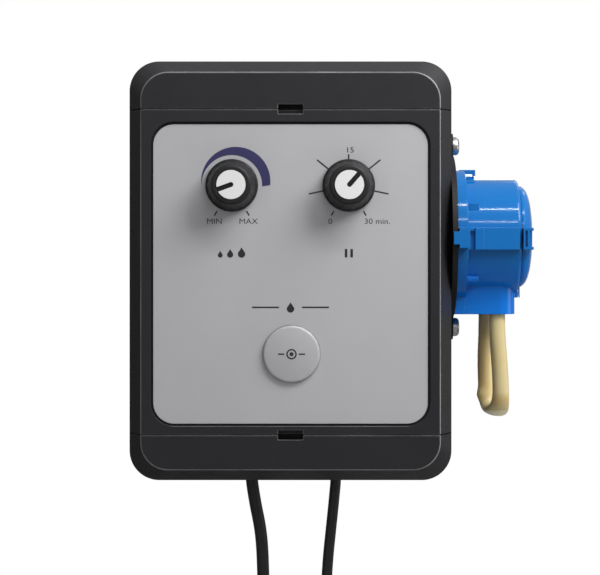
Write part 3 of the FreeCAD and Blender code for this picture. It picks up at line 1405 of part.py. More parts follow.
def head_cover():
    """The domed cover, which pulls off to the right for a new tube."""
    x, r = COVER_X, DOME_RIM_R
    rise = DOME_H - DOME_RIM
    outside = [(x, r), (x + DOME_RIM, r)]
    for i in range(DOME_STEPS):
        angle = math.radians(90 * (i + 1) / DOME_STEPS)
        reach = (r - COVER_GAP) * math.cos(angle) ** DOME_POWER
        outside.append((x + DOME_RIM + rise * math.sin(angle), reach))
    outside[-1] = (x + DOME_H, 0)
    dome = turned_x([(x, 0)] + outside, PUMP_Y, PUMP_Z)
    wide, narrow = DOME_ROOM
    end = x + DOME_H - DOME_WALL
    room = turned_x(
        [
            (x - OVER, 0), (x - OVER, r - DOME_WALL), (x + DOME_RIM, r - DOME_WALL),
            (end - DOME_WALL / 2, r * wide), (end, r * narrow), (end, 0),
        ],
        PUMP_Y,
        PUMP_Z,
    )
    out = HOUSING_R + BAND_OUT - BAND_PAD
    low, high = band_z()
    clips = near_far_box(x, x + CLIP_L, r - SINK, out, low, high)
    recess = near_far_box(
        x + CLIP_CUT_X, x + CLIP_L + OVER, r - CLIP_RIM, out + OVER, low + CLIP_RIM, high - CLIP_RIM
    )
    groove0, groove1 = CLIP_GROOVE_X
    recess += near_far_box(
        x + groove0, x + groove1, out - CLIP_RIM, out + OVER, low + CLIP_RIM, high - CLIP_RIM
    )
    foot = foot_box(x, x + FOOT_CLIP_T)
    foot = foot.fuse(
        box(
            x, x + FOOT_CLIP_T, PUMP_Y - FOOT_W / 2, PUMP_Y + FOOT_W / 2,
            PUMP_Z + FOOT_Z[1], PUMP_Z - r + CLIP_RIM,
        )
    )
    return [cut(fused([dome.cut(room), foot] + clips), recess)]


def roller_axis(index):
    orbit = TRACK_R - SQUEEZED - ROLLER_GAP - ROLLER_R
    angle = math.radians(90 + 360 * index / ROLLERS)
    return PUMP_Y + orbit * math.cos(angle), PUMP_Z + orbit * math.sin(angle)


def rotor_ends():
    """The two plates of the rotor, as (start, end) along the axis."""
    first = TRACK_X + ROTOR_GAP
    last = HOUSING_X - ROTOR_END_GAP
    return (first, first + ROTOR_PLATE_T), (last - ROTOR_PLATE_T, last)


def rotor():
    (a0, a1), (b0, b1) = rotor_ends()
    added = [
        rod_x(ROTOR_PLATE_R, a0, a1, PUMP_Y, PUMP_Z),
        rod_x(ROTOR_HUB_R, a0, b1, PUMP_Y, PUMP_Z),
        rod_x(ROTOR_PLATE_R, b0, b1, PUMP_Y, PUMP_Z),
    ]
    taken = [rod_x(DRIVE_R, a0 - OVER, b1 + OVER, PUMP_Y, PUMP_Z)]
    for i in range(ROLLERS):
        y, z = roller_axis(i)
        taken.append(rod_x(ROLLER_PIN_R, a0 - OVER, b1 + OVER, y, z))
    return [cut(fused(added), taken)]


def roller(index):
    (_, start), (end, _) = rotor_ends()
    y, z = roller_axis(index)
    wheel = rod_x(ROLLER_R, start + ROLLER_GAP, end - ROLLER_GAP, y, z)
    bore = rod_x(ROLLER_PIN_R + ROLLER_PIN_CLEAR, start, end, y, z)
    return [wheel.cut(bore)]


def roller_pins():
    (start, _), (_, end) = rotor_ends()
    return [rod_x(ROLLER_PIN_R, start, end, *roller_axis(i)) for i in range(ROLLERS)]


def pump_tube():
    """The tube in the head, pressed flat against the track, with its two ends down."""
    start, end = TUBE_X - TUBE_FLAT_W / 2, TUBE_X + TUBE_FLAT_W / 2
    outer = rod_x(TRACK_R - TUBE_CLEAR, start, end, PUMP_Y, PUMP_Z)
    envelope = rod_x(TRACK_R - SQUEEZED, start - TUBE_R, end + TUBE_R, PUMP_Y, PUMP_Z)
    gap = PORT_Y - TUBE_OPENING_IN
    opening = box(
        start - OVER, end + OVER, PUMP_Y - gap, PUMP_Y + gap, PUMP_Z - 2 * TRACK_R, PUMP_Z
    )
    legs = [
        rod_z(TUBE_R, PORT_BOTTOM_Z + HOSE_IN + CONNECTOR_L, PUMP_Z - TRACK_R * TUBE_LEG_UP, x, y)
        for x, y in ports()
    ]
    return [cut(fused([outer.cut(opening)] + legs), [envelope])]


def tube_connectors():
    """Two short barbed sleeves that join the tube in the head to the hose below it."""
    low = PORT_BOTTOM_Z + HOSE_IN
    return [rod_z(CONNECTOR_R, low, low + CONNECTOR_L, x, y) for x, y in ports()]


def hose_loop():
    return [tube_along("hose_loop", HOSE_ROUTE, TUBE_R)]


SUBPARTS = {
    "back_shell": back_shell,
    "front_lid": front_lid,
    "top_end_cover": lambda: end_cover(1),
    "bottom_end_cover": lambda: end_cover(-1),
    "front_panel": front_panel,
    "lid_gasket": lid_gasket,
    "lid_screws": lid_screws,
    "left_knob": lambda: knob(LEFT_X),
    "left_knob_cap": lambda: knob_cap(LEFT_X, LEFT_POINTER),
    "left_pot_shaft": lambda: pot_shaft(LEFT_X),
    "left_pot_body": lambda: pot_body(LEFT_X),
    "right_knob": lambda: knob(RIGHT_X),
    "right_knob_cap": lambda: knob_cap(RIGHT_X, RIGHT_POINTER),
    "right_pot_shaft": lambda: pot_shaft(RIGHT_X),
    "right_pot_body": lambda: pot_body(RIGHT_X),
    "pot_nuts": pot_nuts,
    "push_button": push_button,
    "button_dome": button_dome,
    "button_guide": button_guide,
    "push_switch": push_switch,
    "circuit_board": circuit_board,
    "board_screws": board_screws,
    "transformer_core": transformer_core,
    "transformer_coil": transformer_coil,
    "terminal_block": terminal_block,
    "mains_grommet": lambda: grommet(MAINS_X, MAINS_R),
    "signal_grommet": lambda: grommet(SIGNAL_X, SIGNAL_R),
    "cable_clamps": cable_clamps,
    "clamp_screws": clamp_screws,
    "mains_lead": lambda: cable("mains_lead", MAINS_ROUTE, MAINS_R, -1),
    "mains_coil": lambda: [coil_ring(MAINS_ROUTE, MAINS_R, -1)],
    "mains_plug": mains_plug,
    "signal_cable": lambda: cable("signal_cable", SIGNAL_ROUTE, SIGNAL_R, 1),
    "signal_coil": lambda: [coil_ring(SIGNAL_ROUTE, SIGNAL_R, 1)],
    "signal_connector": signal_connector,
    "cable_ties": cable_ties,
    "pump_flange": pump_flange,
    "flange_screws": flange_screws,
    "flange_nuts": flange_nuts,
    "gearbox_screws": gearbox_screws,
    "gearbox_case": gearbox_case,
    "gearbox_cover": gearbox_cover,
    "motor_can": motor_can,
    "motor_pinion": motor_pinion,
    "idler_gear": idler_gear,
    "idler_pin": idler_pin,
    "output_gear": output_gear,
    "drive_shaft": drive_shaft,
    "shaft_bush": shaft_bush,
    "head_base": head_base,
    "head_housing": head_housing,
    "head_cover": head_cover,
    "rotor": rotor,
    "roller_1": lambda: roller(0),
    "roller_2": lambda: roller(1),
    "roller_3": lambda: roller(2),
    "roller_pins": roller_pins,
    "pump_tube": pump_tube,
    "tube_connectors": tube_connectors,
    "hose_loop": hose_loop,
}

os.makedirs("parts", exist_ok=True)
for node, make in SUBPARTS.items():
    solids = [solid for shape in make() for solid in shape.Solids]
    whole = solids[0] if len(solids) == 1 else Part.makeCompound(solids)
    if not whole.isValid():
        print(f"{node}: not a valid shape")
    whole.exportStep(f"parts/{node}.step")
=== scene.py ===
"""A dosing pump for a wall: a black control box with a satin panel, and a blue tube pump head on
its right side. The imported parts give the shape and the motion; this script dresses them."""

import math

import bmesh
import bpy
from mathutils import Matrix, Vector
from mathutils.bvhtree import BVHTree


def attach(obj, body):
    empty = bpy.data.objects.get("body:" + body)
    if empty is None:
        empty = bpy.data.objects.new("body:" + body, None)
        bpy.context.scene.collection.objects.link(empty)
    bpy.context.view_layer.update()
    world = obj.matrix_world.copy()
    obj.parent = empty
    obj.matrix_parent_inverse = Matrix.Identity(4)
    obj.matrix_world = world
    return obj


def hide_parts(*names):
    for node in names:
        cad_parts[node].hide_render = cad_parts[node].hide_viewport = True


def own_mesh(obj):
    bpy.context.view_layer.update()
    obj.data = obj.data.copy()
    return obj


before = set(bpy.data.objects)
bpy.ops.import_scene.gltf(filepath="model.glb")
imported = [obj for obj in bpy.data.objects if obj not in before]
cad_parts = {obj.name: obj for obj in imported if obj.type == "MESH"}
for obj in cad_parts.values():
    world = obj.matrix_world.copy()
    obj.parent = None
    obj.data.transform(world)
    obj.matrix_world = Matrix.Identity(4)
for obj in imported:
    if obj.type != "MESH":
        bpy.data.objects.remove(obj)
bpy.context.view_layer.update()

# ---- Camera, lamps and floor
# The pump is seen straight on from a little over a metre away, before plain white. A square key
# lamp stands close above on the right and two narrow ones streak the glossy head; weaker ones fill
# the left, the right side and the back, and a pale round floor lies below the coiled cables.
CAMERA_AWAY = 1.1
SENSOR_W = 36
VIEW_WIDTH = 0.3  # width of the view at the front of the box
FRONT_Y = -0.09

camera_data = bpy.data.cameras.new("camera")
camera_data.sensor_width = SENSOR_W
camera_data.lens = SENSOR_W * CAMERA_AWAY / VIEW_WIDTH
camera_data.shift_x = 0.0158
camera_data.shift_y = -0.0608
camera = bpy.data.objects.new("camera", camera_data)
camera.location = (0, FRONT_Y - CAMERA_AWAY, 0.01)
camera.rotation_euler = (math.radians(90), 0, 0)
bpy.context.scene.collection.objects.link(camera)
bpy.context.scene.camera = camera
bpy.context.scene.view_settings.view_transform = "Standard"


def lamp(name, place, aim, wide, high, power):
    """A flat lamp of this width and height, which faces the point it is aimed at."""
    data = bpy.data.lights.new(name, "AREA")
    data.shape = "RECTANGLE"
    data.size = wide
    data.size_y = high
    data.energy = power
    light = bpy.data.objects.new(name, data)
    light.location = place
    light.rotation_euler = (Vector(aim) - Vector(place)).to_track_quat("-Z", "Y").to_euler()
    bpy.context.scene.collection.objects.link(light)


lamp("key_lamp", (0.43, -0.39, 0.49), (0.02, -0.06, 0.02), 0.4, 0.4, 6.6)
lamp("overhead_lamp", (0.22, -0.62, 0.86), (0.1, -0.045, 0.0175), 0.4, 0.022, 2.2)
lamp("front_lamp", (0.15, -1.3, 0.72), (0.1, -0.05, 0), 0.4, 0.03, 1.2)
lamp("left_lamp", (-0.75, -1.2, 0.2), (0, -0.05, 0), 0.16, 0.9, 1.3)
lamp("side_lamp", (0.66, -0.13, -0.06), (0.1, -0.05, 0), 0.26, 0.26, 0.4)
lamp("rim_lamp", (0.6, 1.05, 0.82), (0.05, 0, 0.05), 0.7, 0.3, 1.2)
lamp("back_lamp", (-0.1, 1.7, 0.0), (0, 0, 0), 0.8, 0.8, 5)


class Wire:
    """The output of a node. Sums on it are written in Python, and each adds its Math node."""

    def __init__(self, tree, socket):
        self.tree = tree
        self.socket = socket

    def math(self, operation, *values):
        node = self.tree.nodes.new("ShaderNodeMath")
        node.operation = operation
        for place, value in zip(node.inputs, values):
            connect(self.tree, place, value)
        return Wire(self.tree, node.outputs[0])

    def __add__(self, other):
        return self.math("ADD", self, other)

    def __sub__(self, other):
        return self.math("SUBTRACT", self, other)

    def __rsub__(self, other):
        return self.math("SUBTRACT", other, self)

    def __mul__(self, other):
        return self.math("MULTIPLY", self, other)

    def __truediv__(self, other):
        return self.math("DIVIDE", self, other)

    def __rtruediv__(self, other):
        return self.math("DIVIDE", other, self)

    def __pow__(self, other):
        return self.math("POWER", self, other)

    def __lt__(self, other):
        return self.math("LESS_THAN", self, other)

    def __gt__(self, other):
        return self.math("GREATER_THAN", self, other)

    def least(self, other):
        return self.math("MINIMUM", self, other)

    def most(self, other):
        return self.math("MAXIMUM", self, other)

    __radd__ = __add__
    __rmul__ = __mul__


def connect(tree, place, value):
    if isinstance(value, Wire):
        tree.links.new(value.socket, place)
    else:
        place.default_value = value


class Nodes:
    """A node tree in the making. add() makes any node but a sum: settings first, then sockets."""

    def __init__(self, tree):
        self.tree = tree

    def add(self, kind, settings=None, values=None, out=0):
        node = self.tree.nodes.new(kind)
        for name, value in (settings or {}).items():
            if name == "stops":
                ramp = node.color_ramp.elements
                while len(ramp) < len(value):
                    ramp.new(1.0)
                for stop, (at, colour) in zip(ramp, value):
                    stop.position = at
                    stop.color = (*colour, 1)
            else:
                setattr(node, name, value)
        for name, value in (values or {}).items():
            chosen = [s for s in node.inputs if name in (s.identifier, s.name) and s.enabled]
            connect(self.tree, chosen[0], value)
        if isinstance(out, int):
            return Wire(self.tree, node.outputs[out])
        return Wire(self.tree, [s for s in node.outputs if out in (s.identifier, s.name)][0])

    def noise(self, scale, detail=2.0, out=0):
        place = self.add("ShaderNodeTexCoord", out="Object")
        values = {"Vector": place, "Scale": scale, "Detail": detail}
        return self.add("ShaderNodeTexNoise", None, values, out)

    def blend(self, share, first, second):
        """A mix of two colours, each of them a Wire or three numbers."""
        first, second = (c if isinstance(c, Wire) else (*c, 1) for c in (first, second))
        colours = {"Factor_Float": share, "A_Color": first, "B_Color": second}
        return self.add("ShaderNodeMix", {"data_type": "RGBA"}, colours, "Result_Color")


ROOM_LEVEL = 0.2  # of the light from all round, where the white backdrop is 1

world = bpy.data.worlds.new("studio")
world.use_nodes = True
bpy.context.scene.world = world
studio = Nodes(world.node_tree)
world.node_tree.nodes.clear()
camera_ray = studio.add("ShaderNodeLightPath", out="Is Camera Ray")
glossy_ray = studio.add("ShaderNodeLightPath", out="Is Glossy Ray")
clear_ray = studio.add("ShaderNodeLightPath", out="Is Transmission Ray")
sky = studio.add("ShaderNodeTexCoord", out="Generated")
side, behind, above = (
    studio.add("ShaderNodeSeparateXYZ", None, {"Vector": sky}, axis) for axis in "XYZ"
)
# What the glossy surfaces mirror: the backdrop, and weaker glows from ahead, above and the right.
backdrop = ((behind - 0.86) * 9.0).most(0.0).least(1.0)
ahead = ((behind * -1.0 - 0.5) * 2.0).most(0.0).least(1.0)
mirrored = (
    backdrop * 0.5 + ahead * 0.25 + above.most(0.0) * 0.55 + side.most(0.0) * 0.25 + 0.08
)
level = glossy_ray * (mirrored - ROOM_LEVEL) + ROOM_LEVEL
white = camera_ray.most(clear_ray)
strength = white + (1 - white) * level
shade = studio.add("ShaderNodeBackground", None, {"Color": (1, 1, 1, 1), "Strength": strength})
world_out = world.node_tree.nodes.new("ShaderNodeOutputWorld")
connect(world.node_tree, world_out.inputs["Surface"], shade)

FLOOR_Z = -0.324
FLOOR_R = 1.0


def mesh_of(name, form):
    """The finished mesh of a form, with every face turned outwards."""
    bmesh.ops.recalc_face_normals(form, faces=form.faces)
    mesh = bpy.data.meshes.new(name)
    form.to_mesh(mesh)
    form.free()
    return mesh


def new_finish(name):
    """A new material, with its nodes and its shader."""
    material = bpy.data.materials.new(name)
    material.use_nodes = True
    return material, Nodes(material.node_tree), material.node_tree.nodes["Principled BSDF"]


floor_form = bmesh.new()
bmesh.ops.create_circle(floor_form, cap_ends=True, segments=96, radius=FLOOR_R)
bmesh.ops.translate(floor_form, verts=floor_form.verts, vec=(0, 0, FLOOR_Z))
floor_mesh = mesh_of("floor", floor_form)
floor = bpy.data.objects.new("floor", floor_mesh)
bpy.context.scene.collection.objects.link(floor)
floor_paint, floor_nodes, floor_shader = new_finish("pale_floor")
floor_mirrored = floor_nodes.add("ShaderNodeLightPath", out="Is Glossy Ray")
floor_seen = floor_nodes.add("ShaderNodeLightPath", out="Is Camera Ray")
floor_shade = floor_seen * 0.25 - floor_mirrored * 0.3 + 0.6
connect(floor_nodes.tree, floor_shader.inputs["Base Color"], floor_shade)
floor_shader.inputs["Roughness"].default_value = 0.9
floor_shader.inputs["Specular IOR Level"].default_value = 0.1
floor_mesh.materials.append(floor_paint)

# ---- Hose: the loop of tan silicone tube that hangs under the head
# It leaves the head's near port, hangs down and is folded back up to the far port. The fold is so
# tight that the tube has kinked there: it lies flat in the bend and bulges to both sides.
HOSE_D = 0.0084
HOSE_POINTS = [
    (0.1065, -0.0540, -0.0175),
    (0.1065, -0.0540, -0.0320),
    (0.1081, -0.0546, -0.0495),
    (0.1088, -0.0549, -0.0727),
    (0.1034, -0.0352, -0.0731),
    (0.10205, -0.0352, -0.0500),
    (0.1028, -0.0360, -0.0320),
    (0.1028, -0.0360, -0.0175),
]
KINK_AT, KINK_LONG = 0.5, 0.075  # shares of the hose's length
BULGE_AT, BULGE_LONG = 0.615, 0.024
KINK_WIDER, KINK_FLATTER = 0.42, 0.34  # shares of the hose's radius
BULGE_WIDER = 0.34
FAR_STRAND_Y = -0.048
NEAR_STRAND_Y = -0.049
DARKER_BAND_Z = -0.0668
PALER_BOTTOM_Z = -0.0722


def cord_line(name, points):
    """A smooth open curve with these points as its control points."""
    curve = bpy.data.curves.new(name, "CURVE")
    curve.dimensions = "3D"
    curve.resolution_u = 12
    spline = curve.splines.new("NURBS")
    spline.points.add(len(points) - 1)
    for place, point in zip(spline.points, points):
        place.co = (*point, 1)
    spline.order_u = 3
    spline.use_endpoint_u = True
    return curve


def line_points(curve):
    """The places along a curve that has no thickness, evenly enough spaced to build on."""
    holder = bpy.data.objects.new("line", curve)
    bpy.context.scene.collection.objects.link(holder)
    bpy.context.view_layer.update()
    depsgraph = bpy.context.evaluated_depsgraph_get()
    mesh = bpy.data.meshes.new_from_object(holder.evaluated_get(depsgraph))
    places = [v.co.copy() for v in mesh.vertices]
    bpy.data.objects.remove(holder)
    bpy.data.meshes.remove(mesh)
    return places


def placed(name, mesh, body, slot_name, *nodes):
    """A finished piece: in the scene, on its body, and in place of its CAD nodes."""
    piece = bpy.data.objects.new(name, mesh)
    bpy.context.scene.collection.objects.link(piece)
    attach(piece, body)
    if nodes:
        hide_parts(*nodes)
    return piece


def swept(name, places, radii, sides=40):
    """A closed tube along the places; radii gives its two half-widths at a share of its length."""
    form = bmesh.new()
    lengths = [0.0]
    for before, after in zip(places, places[1:]):
        lengths.append(lengths[-1] + (after - before).length)
    across = Vector((1, 0, 0))
    rings = []
    for i, place in enumerate(places):
        ahead = places[min(i + 1, len(places) - 1)] - places[max(i - 1, 0)]
        ahead.normalize()
        across = (across - ahead * across.dot(ahead)).normalized()
        up = ahead.cross(across)
        wide, thick = radii(lengths[i] / lengths[-1])
        ring = []
        for k in range(sides):
            turn = 2 * math.pi * k / sides
            offset = across * (wide * math.cos(turn)) + up * (thick * math.sin(turn))
            ring.append(form.verts.new(place + offset))
        rings.append(ring)
    for first, second in zip(rings, rings[1:]):
        for k in range(sides):
            form.faces.new((first[k], first[k - 1], second[k - 1], second[k]))
    form.faces.new(rings[0])
    form.faces.new(reversed(rings[-1]))
    mesh = mesh_of(name, form)
    for face in mesh.polygons:
        face.use_smooth = len(face.vertices) == 4
    return mesh


def hose_radii(share):
    """Round along both strands; flat and wide at the kink, which lies just past the middle."""
    kink = math.exp(-(((share - KINK_AT) / KINK_LONG) ** 2))
    bulge = math.exp(-(((share - BULGE_AT) / BULGE_LONG) ** 2))
    wide = HOSE_D / 2 * (1 + KINK_WIDER * kink + BULGE_WIDER * bulge)
    thick = HOSE_D / 2 * (1 - KINK_FLATTER * kink)
    return wide, thick


def tan_rubber():
    """Milky silicone, with painted light on the far strand, and a darker band and a paler bottom at
    the tight fold.
    """
    material, nodes, shader = new_finish("tan_tube")
    milky = nodes.noise(55, 3)
    near = nodes.blend(milky, (0.51, 0.42, 0.2), (0.57, 0.49, 0.28))
    # The far strand's paler, warmer tan is painted light.
    far = nodes.blend(milky, (0.72, 0.56, 0.25), (0.80, 0.66, 0.34))
    place = nodes.add("ShaderNodeTexCoord", out="Object")
    ahead = nodes.add("ShaderNodeSeparateXYZ", None, {"Vector": place}, "Y")
    up = nodes.add("ShaderNodeSeparateXYZ", None, {"Vector": place}, "Z")
    # Painted light: the far strand, which the head and the near strand shade, is painted paler and
    # warmer.
    painted_light_share = ((ahead - FAR_STRAND_Y) * 100.0).most(0.0).least(1.0)
    tan = nodes.blend(painted_light_share, near, far)
    # Darker in a band a little above the bottom of the fold on the near strand, and paler at the
    # very bottom.
    low = (PALER_BOTTOM_Z - up + nodes.noise(300, 3) * 0.001) * 700.0
    paler_bottom = low.most(0.0).least(1.0)
    above = (up - DARKER_BAND_Z) * 260.0
    nearer = ((NEAR_STRAND_Y - ahead) * 400.0).most(0.0).least(1.0)
    darker_band = (1 - above * above).most(0.0) * nearer
    tan = nodes.blend(darker_band * 0.55, tan, (0.47, 0.33, 0.12))
    tan = nodes.blend(paler_bottom * 0.7, tan, (0.83, 0.78, 0.58))
    connect(nodes.tree, shader.inputs["Base Color"], tan)
    connect(nodes.tree, shader.inputs["Roughness"], nodes.noise(240) * 0.18 + 0.3)
    grain = {"Height": nodes.noise(900, 3), "Strength": 0.25, "Distance": 0.0002}
    connect(nodes.tree, shader.inputs["Normal"], nodes.add("ShaderNodeBump", None, grain))
    shader.inputs["Subsurface Weight"].default_value = 0.45
    shader.inputs["Subsurface Radius"].default_value = (1.0, 0.75, 0.4)
    shader.inputs["Subsurface Scale"].default_value = 0.006
    shader.inputs["Specular IOR Level"].default_value = 0.45
    return material


hose_line = line_points(cord_line("hose_line", HOSE_POINTS))
hose_mesh = swept("hose_loop_skin", hose_line, hose_radii)
hose_mesh.materials.append(tan_rubber())
hose = placed("hose_loop_skin", hose_mesh, "box", "tube_tan", "hose_loop")

# ---- Cables: the mains lead on the left and the thinner signal cable on the right
# Both are round black cables that come straight down out of their grommets. The length that is
# not in use is wound in a neat coil below, with a tie at its top, and the plug hangs from it.
MAINS_D = 0.0064
SIGNAL_D = 0.0056
MAINS_POINTS = [
    (-0.0212, -0.0350, -0.0740),
    (-0.0212, -0.0350, -0.1040),
    (-0.0188, -0.0352, -0.1210),
    (-0.0153, -0.0350, -0.1375),
    (-0.0143, -0.0344, -0.1570),
    (-0.0141, -0.0322, -0.1830),
]
SIGNAL_POINTS = [
    (0.0243, -0.0350, -0.0740),
    (0.0243, -0.0350, -0.1040),
    (0.0228, -0.0352, -0.1210),
    (0.0210, -0.0350, -0.1380),
    (0.0193, -0.0344, -0.1550),
    (0.0183, -0.0322, -0.1810),
]
COIL_TURNS = 7
COIL_MID = 5.5  # radius of the bundle's middle, in cable diameters
STEPS_PER_TURN = 16
CROSSING = 0.45  # the last share of a turn, in which the cable moves to the next turn's place
TAIL = 0.042
# Where each turn lies in the bundle, in cable diameters behind and outside its middle.
BUNDLE = [
    (1.0, 0.0), (0.5, -0.866), (-0.5, -0.866), (0.0, 0.0),
    (0.5, 0.866), (-0.5, 0.866), (-1.0, 0.0),
]


def with_coil(points, diameter, start, side):
    """Adds the coil's turns below the lead, and the straight tail that ends at the plug."""
    middle = COIL_MID * diameter
    centre = Vector((start[0] + side * middle, start[1], start[2]))
    # A smooth line through control points on a circle lies this much inside them.
    spread = 0.75 + math.cos(2 * math.pi / STEPS_PER_TURN) / 4
    turns = []
    for i in range(1, COIL_TURNS * STEPS_PER_TURN):
        turn, part = divmod(i / STEPS_PER_TURN, 1)
        here = BUNDLE[int(turn)]
        after = BUNDLE[min(int(turn) + 1, COIL_TURNS - 1)]
        share = max(0.0, (part - 1 + CROSSING) / CROSSING)
        share = share * share * (3 - 2 * share)
        back = (here[0] + (after[0] - here[0]) * share) * diameter
        out = (here[1] + (after[1] - here[1]) * share) * diameter
        angle = 2 * math.pi * i / STEPS_PER_TURN
        reach = (middle + out) / spread
        turns.append(
            centre + Vector((-side * reach * math.cos(angle), back, -reach * math.sin(angle)))
        )
    bottom = start[2] - TAIL
    # The lead comes down behind the bundle, and the tail leaves in front of it.
    first = Vector((start[0], start[1] + 1.35 * diameter, start[2] + 2.4 * diameter))
    last = [
        Vector((start[0], start[1] - 1.3 * diameter, start[2])),
        Vector((start[0], start[1] - 1.5 * diameter, start[2] - 2.0 * diameter)),
        Vector((start[0], start[1] - 0.5 * diameter, bottom + 2.2 * diameter)),
        Vector((start[0], start[1], bottom + 1.0 * diameter)),
        Vector((start[0], start[1], bottom - 0.002)),
    ]
    return [Vector(p) for p in points] + [first] + turns + last


def black_sheath():
    """Soft black vinyl, a little dusty."""
    material, nodes, shader = new_finish("cable_sheath")
    dusty = nodes.noise(90, 4)
    colour = nodes.blend(dusty, (0.010, 0.010, 0.011), (0.021, 0.021, 0.023))
    connect(nodes.tree, shader.inputs["Base Color"], colour)
    connect(nodes.tree, shader.inputs["Roughness"], nodes.noise(400) * 0.2 + 0.36)
    grain = {"Height": nodes.noise(1800, 3), "Strength": 0.3, "Distance": 0.0001}
    connect(nodes.tree, shader.inputs["Normal"], nodes.add("ShaderNodeBump", None, grain))
    shader.inputs["Specular IOR Level"].default_value = 0.4
    return material


sheath = black_sheath()


def cable(name, points, diameter, start, side, node, coil_node):
    """A cable from its grommet to its plug, in place of its CAD lead and coil."""
    curve = cord_line(name, with_coil(points, diameter, start, side))
    curve.resolution_u = 5
    curve.bevel_depth = diameter / 2
    curve.bevel_resolution = 6
    curve.use_fill_caps = True
    curve.materials.append(sheath)
    piece = placed(name, curve, "box", "cable_black", node, coil_node)


MAINS_COIL = (-0.0150, -0.0340, -0.2120)
SIGNAL_COIL = (0.0185, -0.0340, -0.2100)
cable(
    "mains_lead_line", MAINS_POINTS, MAINS_D, MAINS_COIL, -1,
    "mains_lead", "mains_coil",
)
cable(
    "signal_cable_line", SIGNAL_POINTS, SIGNAL_D, SIGNAL_COIL, 1,
    "signal_cable", "signal_coil",
)


# ---- Ties, plugs and grommets on the cables
# A nylon strap holds each coil. The mains plug is moulded in black with two half-sleeved pins, the
# signal plug is a round barrel, and each cable leaves the box through a soft rubber grommet.
def dressed(node, material, second=None, chosen=None):
    """Gives a CAD node its material, and a second one where chosen(face) is true."""
    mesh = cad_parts[node].data
    mesh.materials.clear()
    mesh.materials.append(material)
    if second:
        mesh.materials.append(second)
        for face in mesh.polygons:
            face.material_index = 1 if chosen(face.center) else 0


def plastic(name, colours, roughness, grain, depth, edge, specular=0.5, uneven=0.12):
    """Moulded plastic: two close shades that drift into each other, a grain and soft edges."""
    material, nodes, shader = new_finish(name)
    colour = nodes.blend(nodes.noise(38, 3), *colours)
    connect(nodes.tree, shader.inputs["Base Color"], colour)
    connect(nodes.tree, shader.inputs["Roughness"], nodes.noise(140, 4) * uneven + roughness)
    corner = nodes.add("ShaderNodeBevel", {"samples": 4}, {"Radius": edge})
    height = nodes.noise(grain, 4)
    values = {"Height": height, "Strength": 0.35, "Distance": depth, "Normal": corner}
    connect(nodes.tree, shader.inputs["Normal"], nodes.add("ShaderNodeBump", None, values))
    shader.inputs["Specular IOR Level"].default_value = specular
    return material


moulded_black = plastic(
    "moulded_black", ((0.009, 0.009, 0.010), (0.014, 0.014, 0.015)),
    roughness=0.34, grain=1500, depth=0.00008, edge=0.0004,
)
rubber_black = plastic(
    "rubber_black", ((0.008, 0.008, 0.008), (0.014, 0.014, 0.014)),
    roughness=0.5, grain=1100, depth=0.0001, edge=0.0005, specular=0.3,
)


def metal(name, colour, roughness, edge=0.0002):
    """Bright metal with faint turning marks and small stains."""
    material, nodes, shader = new_finish(name)
    darker = tuple(0.78 * c for c in colour)
    tone = nodes.blend(nodes.noise(260, 4), darker, colour)
    connect(nodes.tree, shader.inputs["Base Color"], tone)
    connect(nodes.tree, shader.inputs["Roughness"], nodes.noise(500, 3) * 0.16 + roughness)
    corner = nodes.add("ShaderNodeBevel", {"samples": 4}, {"Radius": edge})
    marks = nodes.noise(2600, 2)
    values = {"Height": marks, "Strength": 0.2, "Distance": 0.00005, "Normal": corner}
    connect(nodes.tree, shader.inputs["Normal"], nodes.add("ShaderNodeBump", None, values))
    shader.inputs["Metallic"].default_value = 1.0
    return material


steel = metal("zinc_steel", (0.62, 0.62, 0.63), 0.2)
PIN_TOP_Z = {"mains_plug": -0.3145, "signal_connector": -0.296}
TIE_W = 0.005
TIE_T = 0.0011
TIE_STEPS = 60
TIE_REACH = 0.53  # from a turn's middle to the strap, in cable diameters
TIE_CROSSED = 0.42  # how far the turns under the strap have moved to the next ones' places
TIE_HEAD = (0.0065, 0.005, 0.0032)
TIE_HEAD_UP = 0.0008  # from the strap's top to the middle of its head


def join_rings(form, rings):
    """Faces from each ring of points to the next one, and from the last to the first."""
    for first, second in zip(rings, rings[1:] + rings[:1]):
        for k in range(len(first)):
            form.faces.new((first[k - 1], first[k], second[k], second[k - 1]))


def strap(form, diameter, start, side):
    """A strap drawn tight round the turns at the top of a coil, and its square head."""
    middle = COIL_MID * diameter
    centre = Vector((start[0] + side * middle, start[1], start[2] + middle))
    mids = []
    for here, after in zip(BUNDLE, BUNDLE[1:] + BUNDLE[-1:]):
        mids.append(Vector(here).lerp(Vector(after), TIE_CROSSED) * diameter)
    rings = []
    for x, reach in ((-1, 0.0), (-1, TIE_T), (1, TIE_T), (1, 0.0)):
        ring = []
        for k in range(TIE_STEPS):
            turn = 2 * math.pi * k / TIE_STEPS
            way = Vector((math.cos(turn), math.sin(turn)))
            mid = max(mids, key=lambda m: m.dot(way))
            back, out = mid + way * (diameter * TIE_REACH + reach)
            place = centre + Vector((x * TIE_W / 2, back, out))
            ring.append(form.verts.new(place))
        rings.append(ring)
    join_rings(form, rings)
    top = max(v.co.z for v in rings[1])
    head = bmesh.ops.create_cube(form, size=1.0)["verts"]
    bmesh.ops.scale(form, vec=TIE_HEAD, verts=head)
    bmesh.ops.translate(form, vec=(centre.x, centre.y, top + TIE_HEAD_UP), verts=head)


tie_form = bmesh.new()
strap(tie_form, MAINS_D, MAINS_COIL, -1)
strap(tie_form, SIGNAL_D, SIGNAL_COIL, 1)
tie_mesh = mesh_of("tie_straps", tie_form)
tie_mesh.materials.append(moulded_black)
placed("tie_straps", tie_mesh, "box", "cable_black", "cable_ties")
for node in ("mains_grommet", "signal_grommet"):
    dressed(node, rubber_black)
for node, pin_z in PIN_TOP_Z.items():
    dressed(node, moulded_black, steel, lambda place: place.z < pin_z)

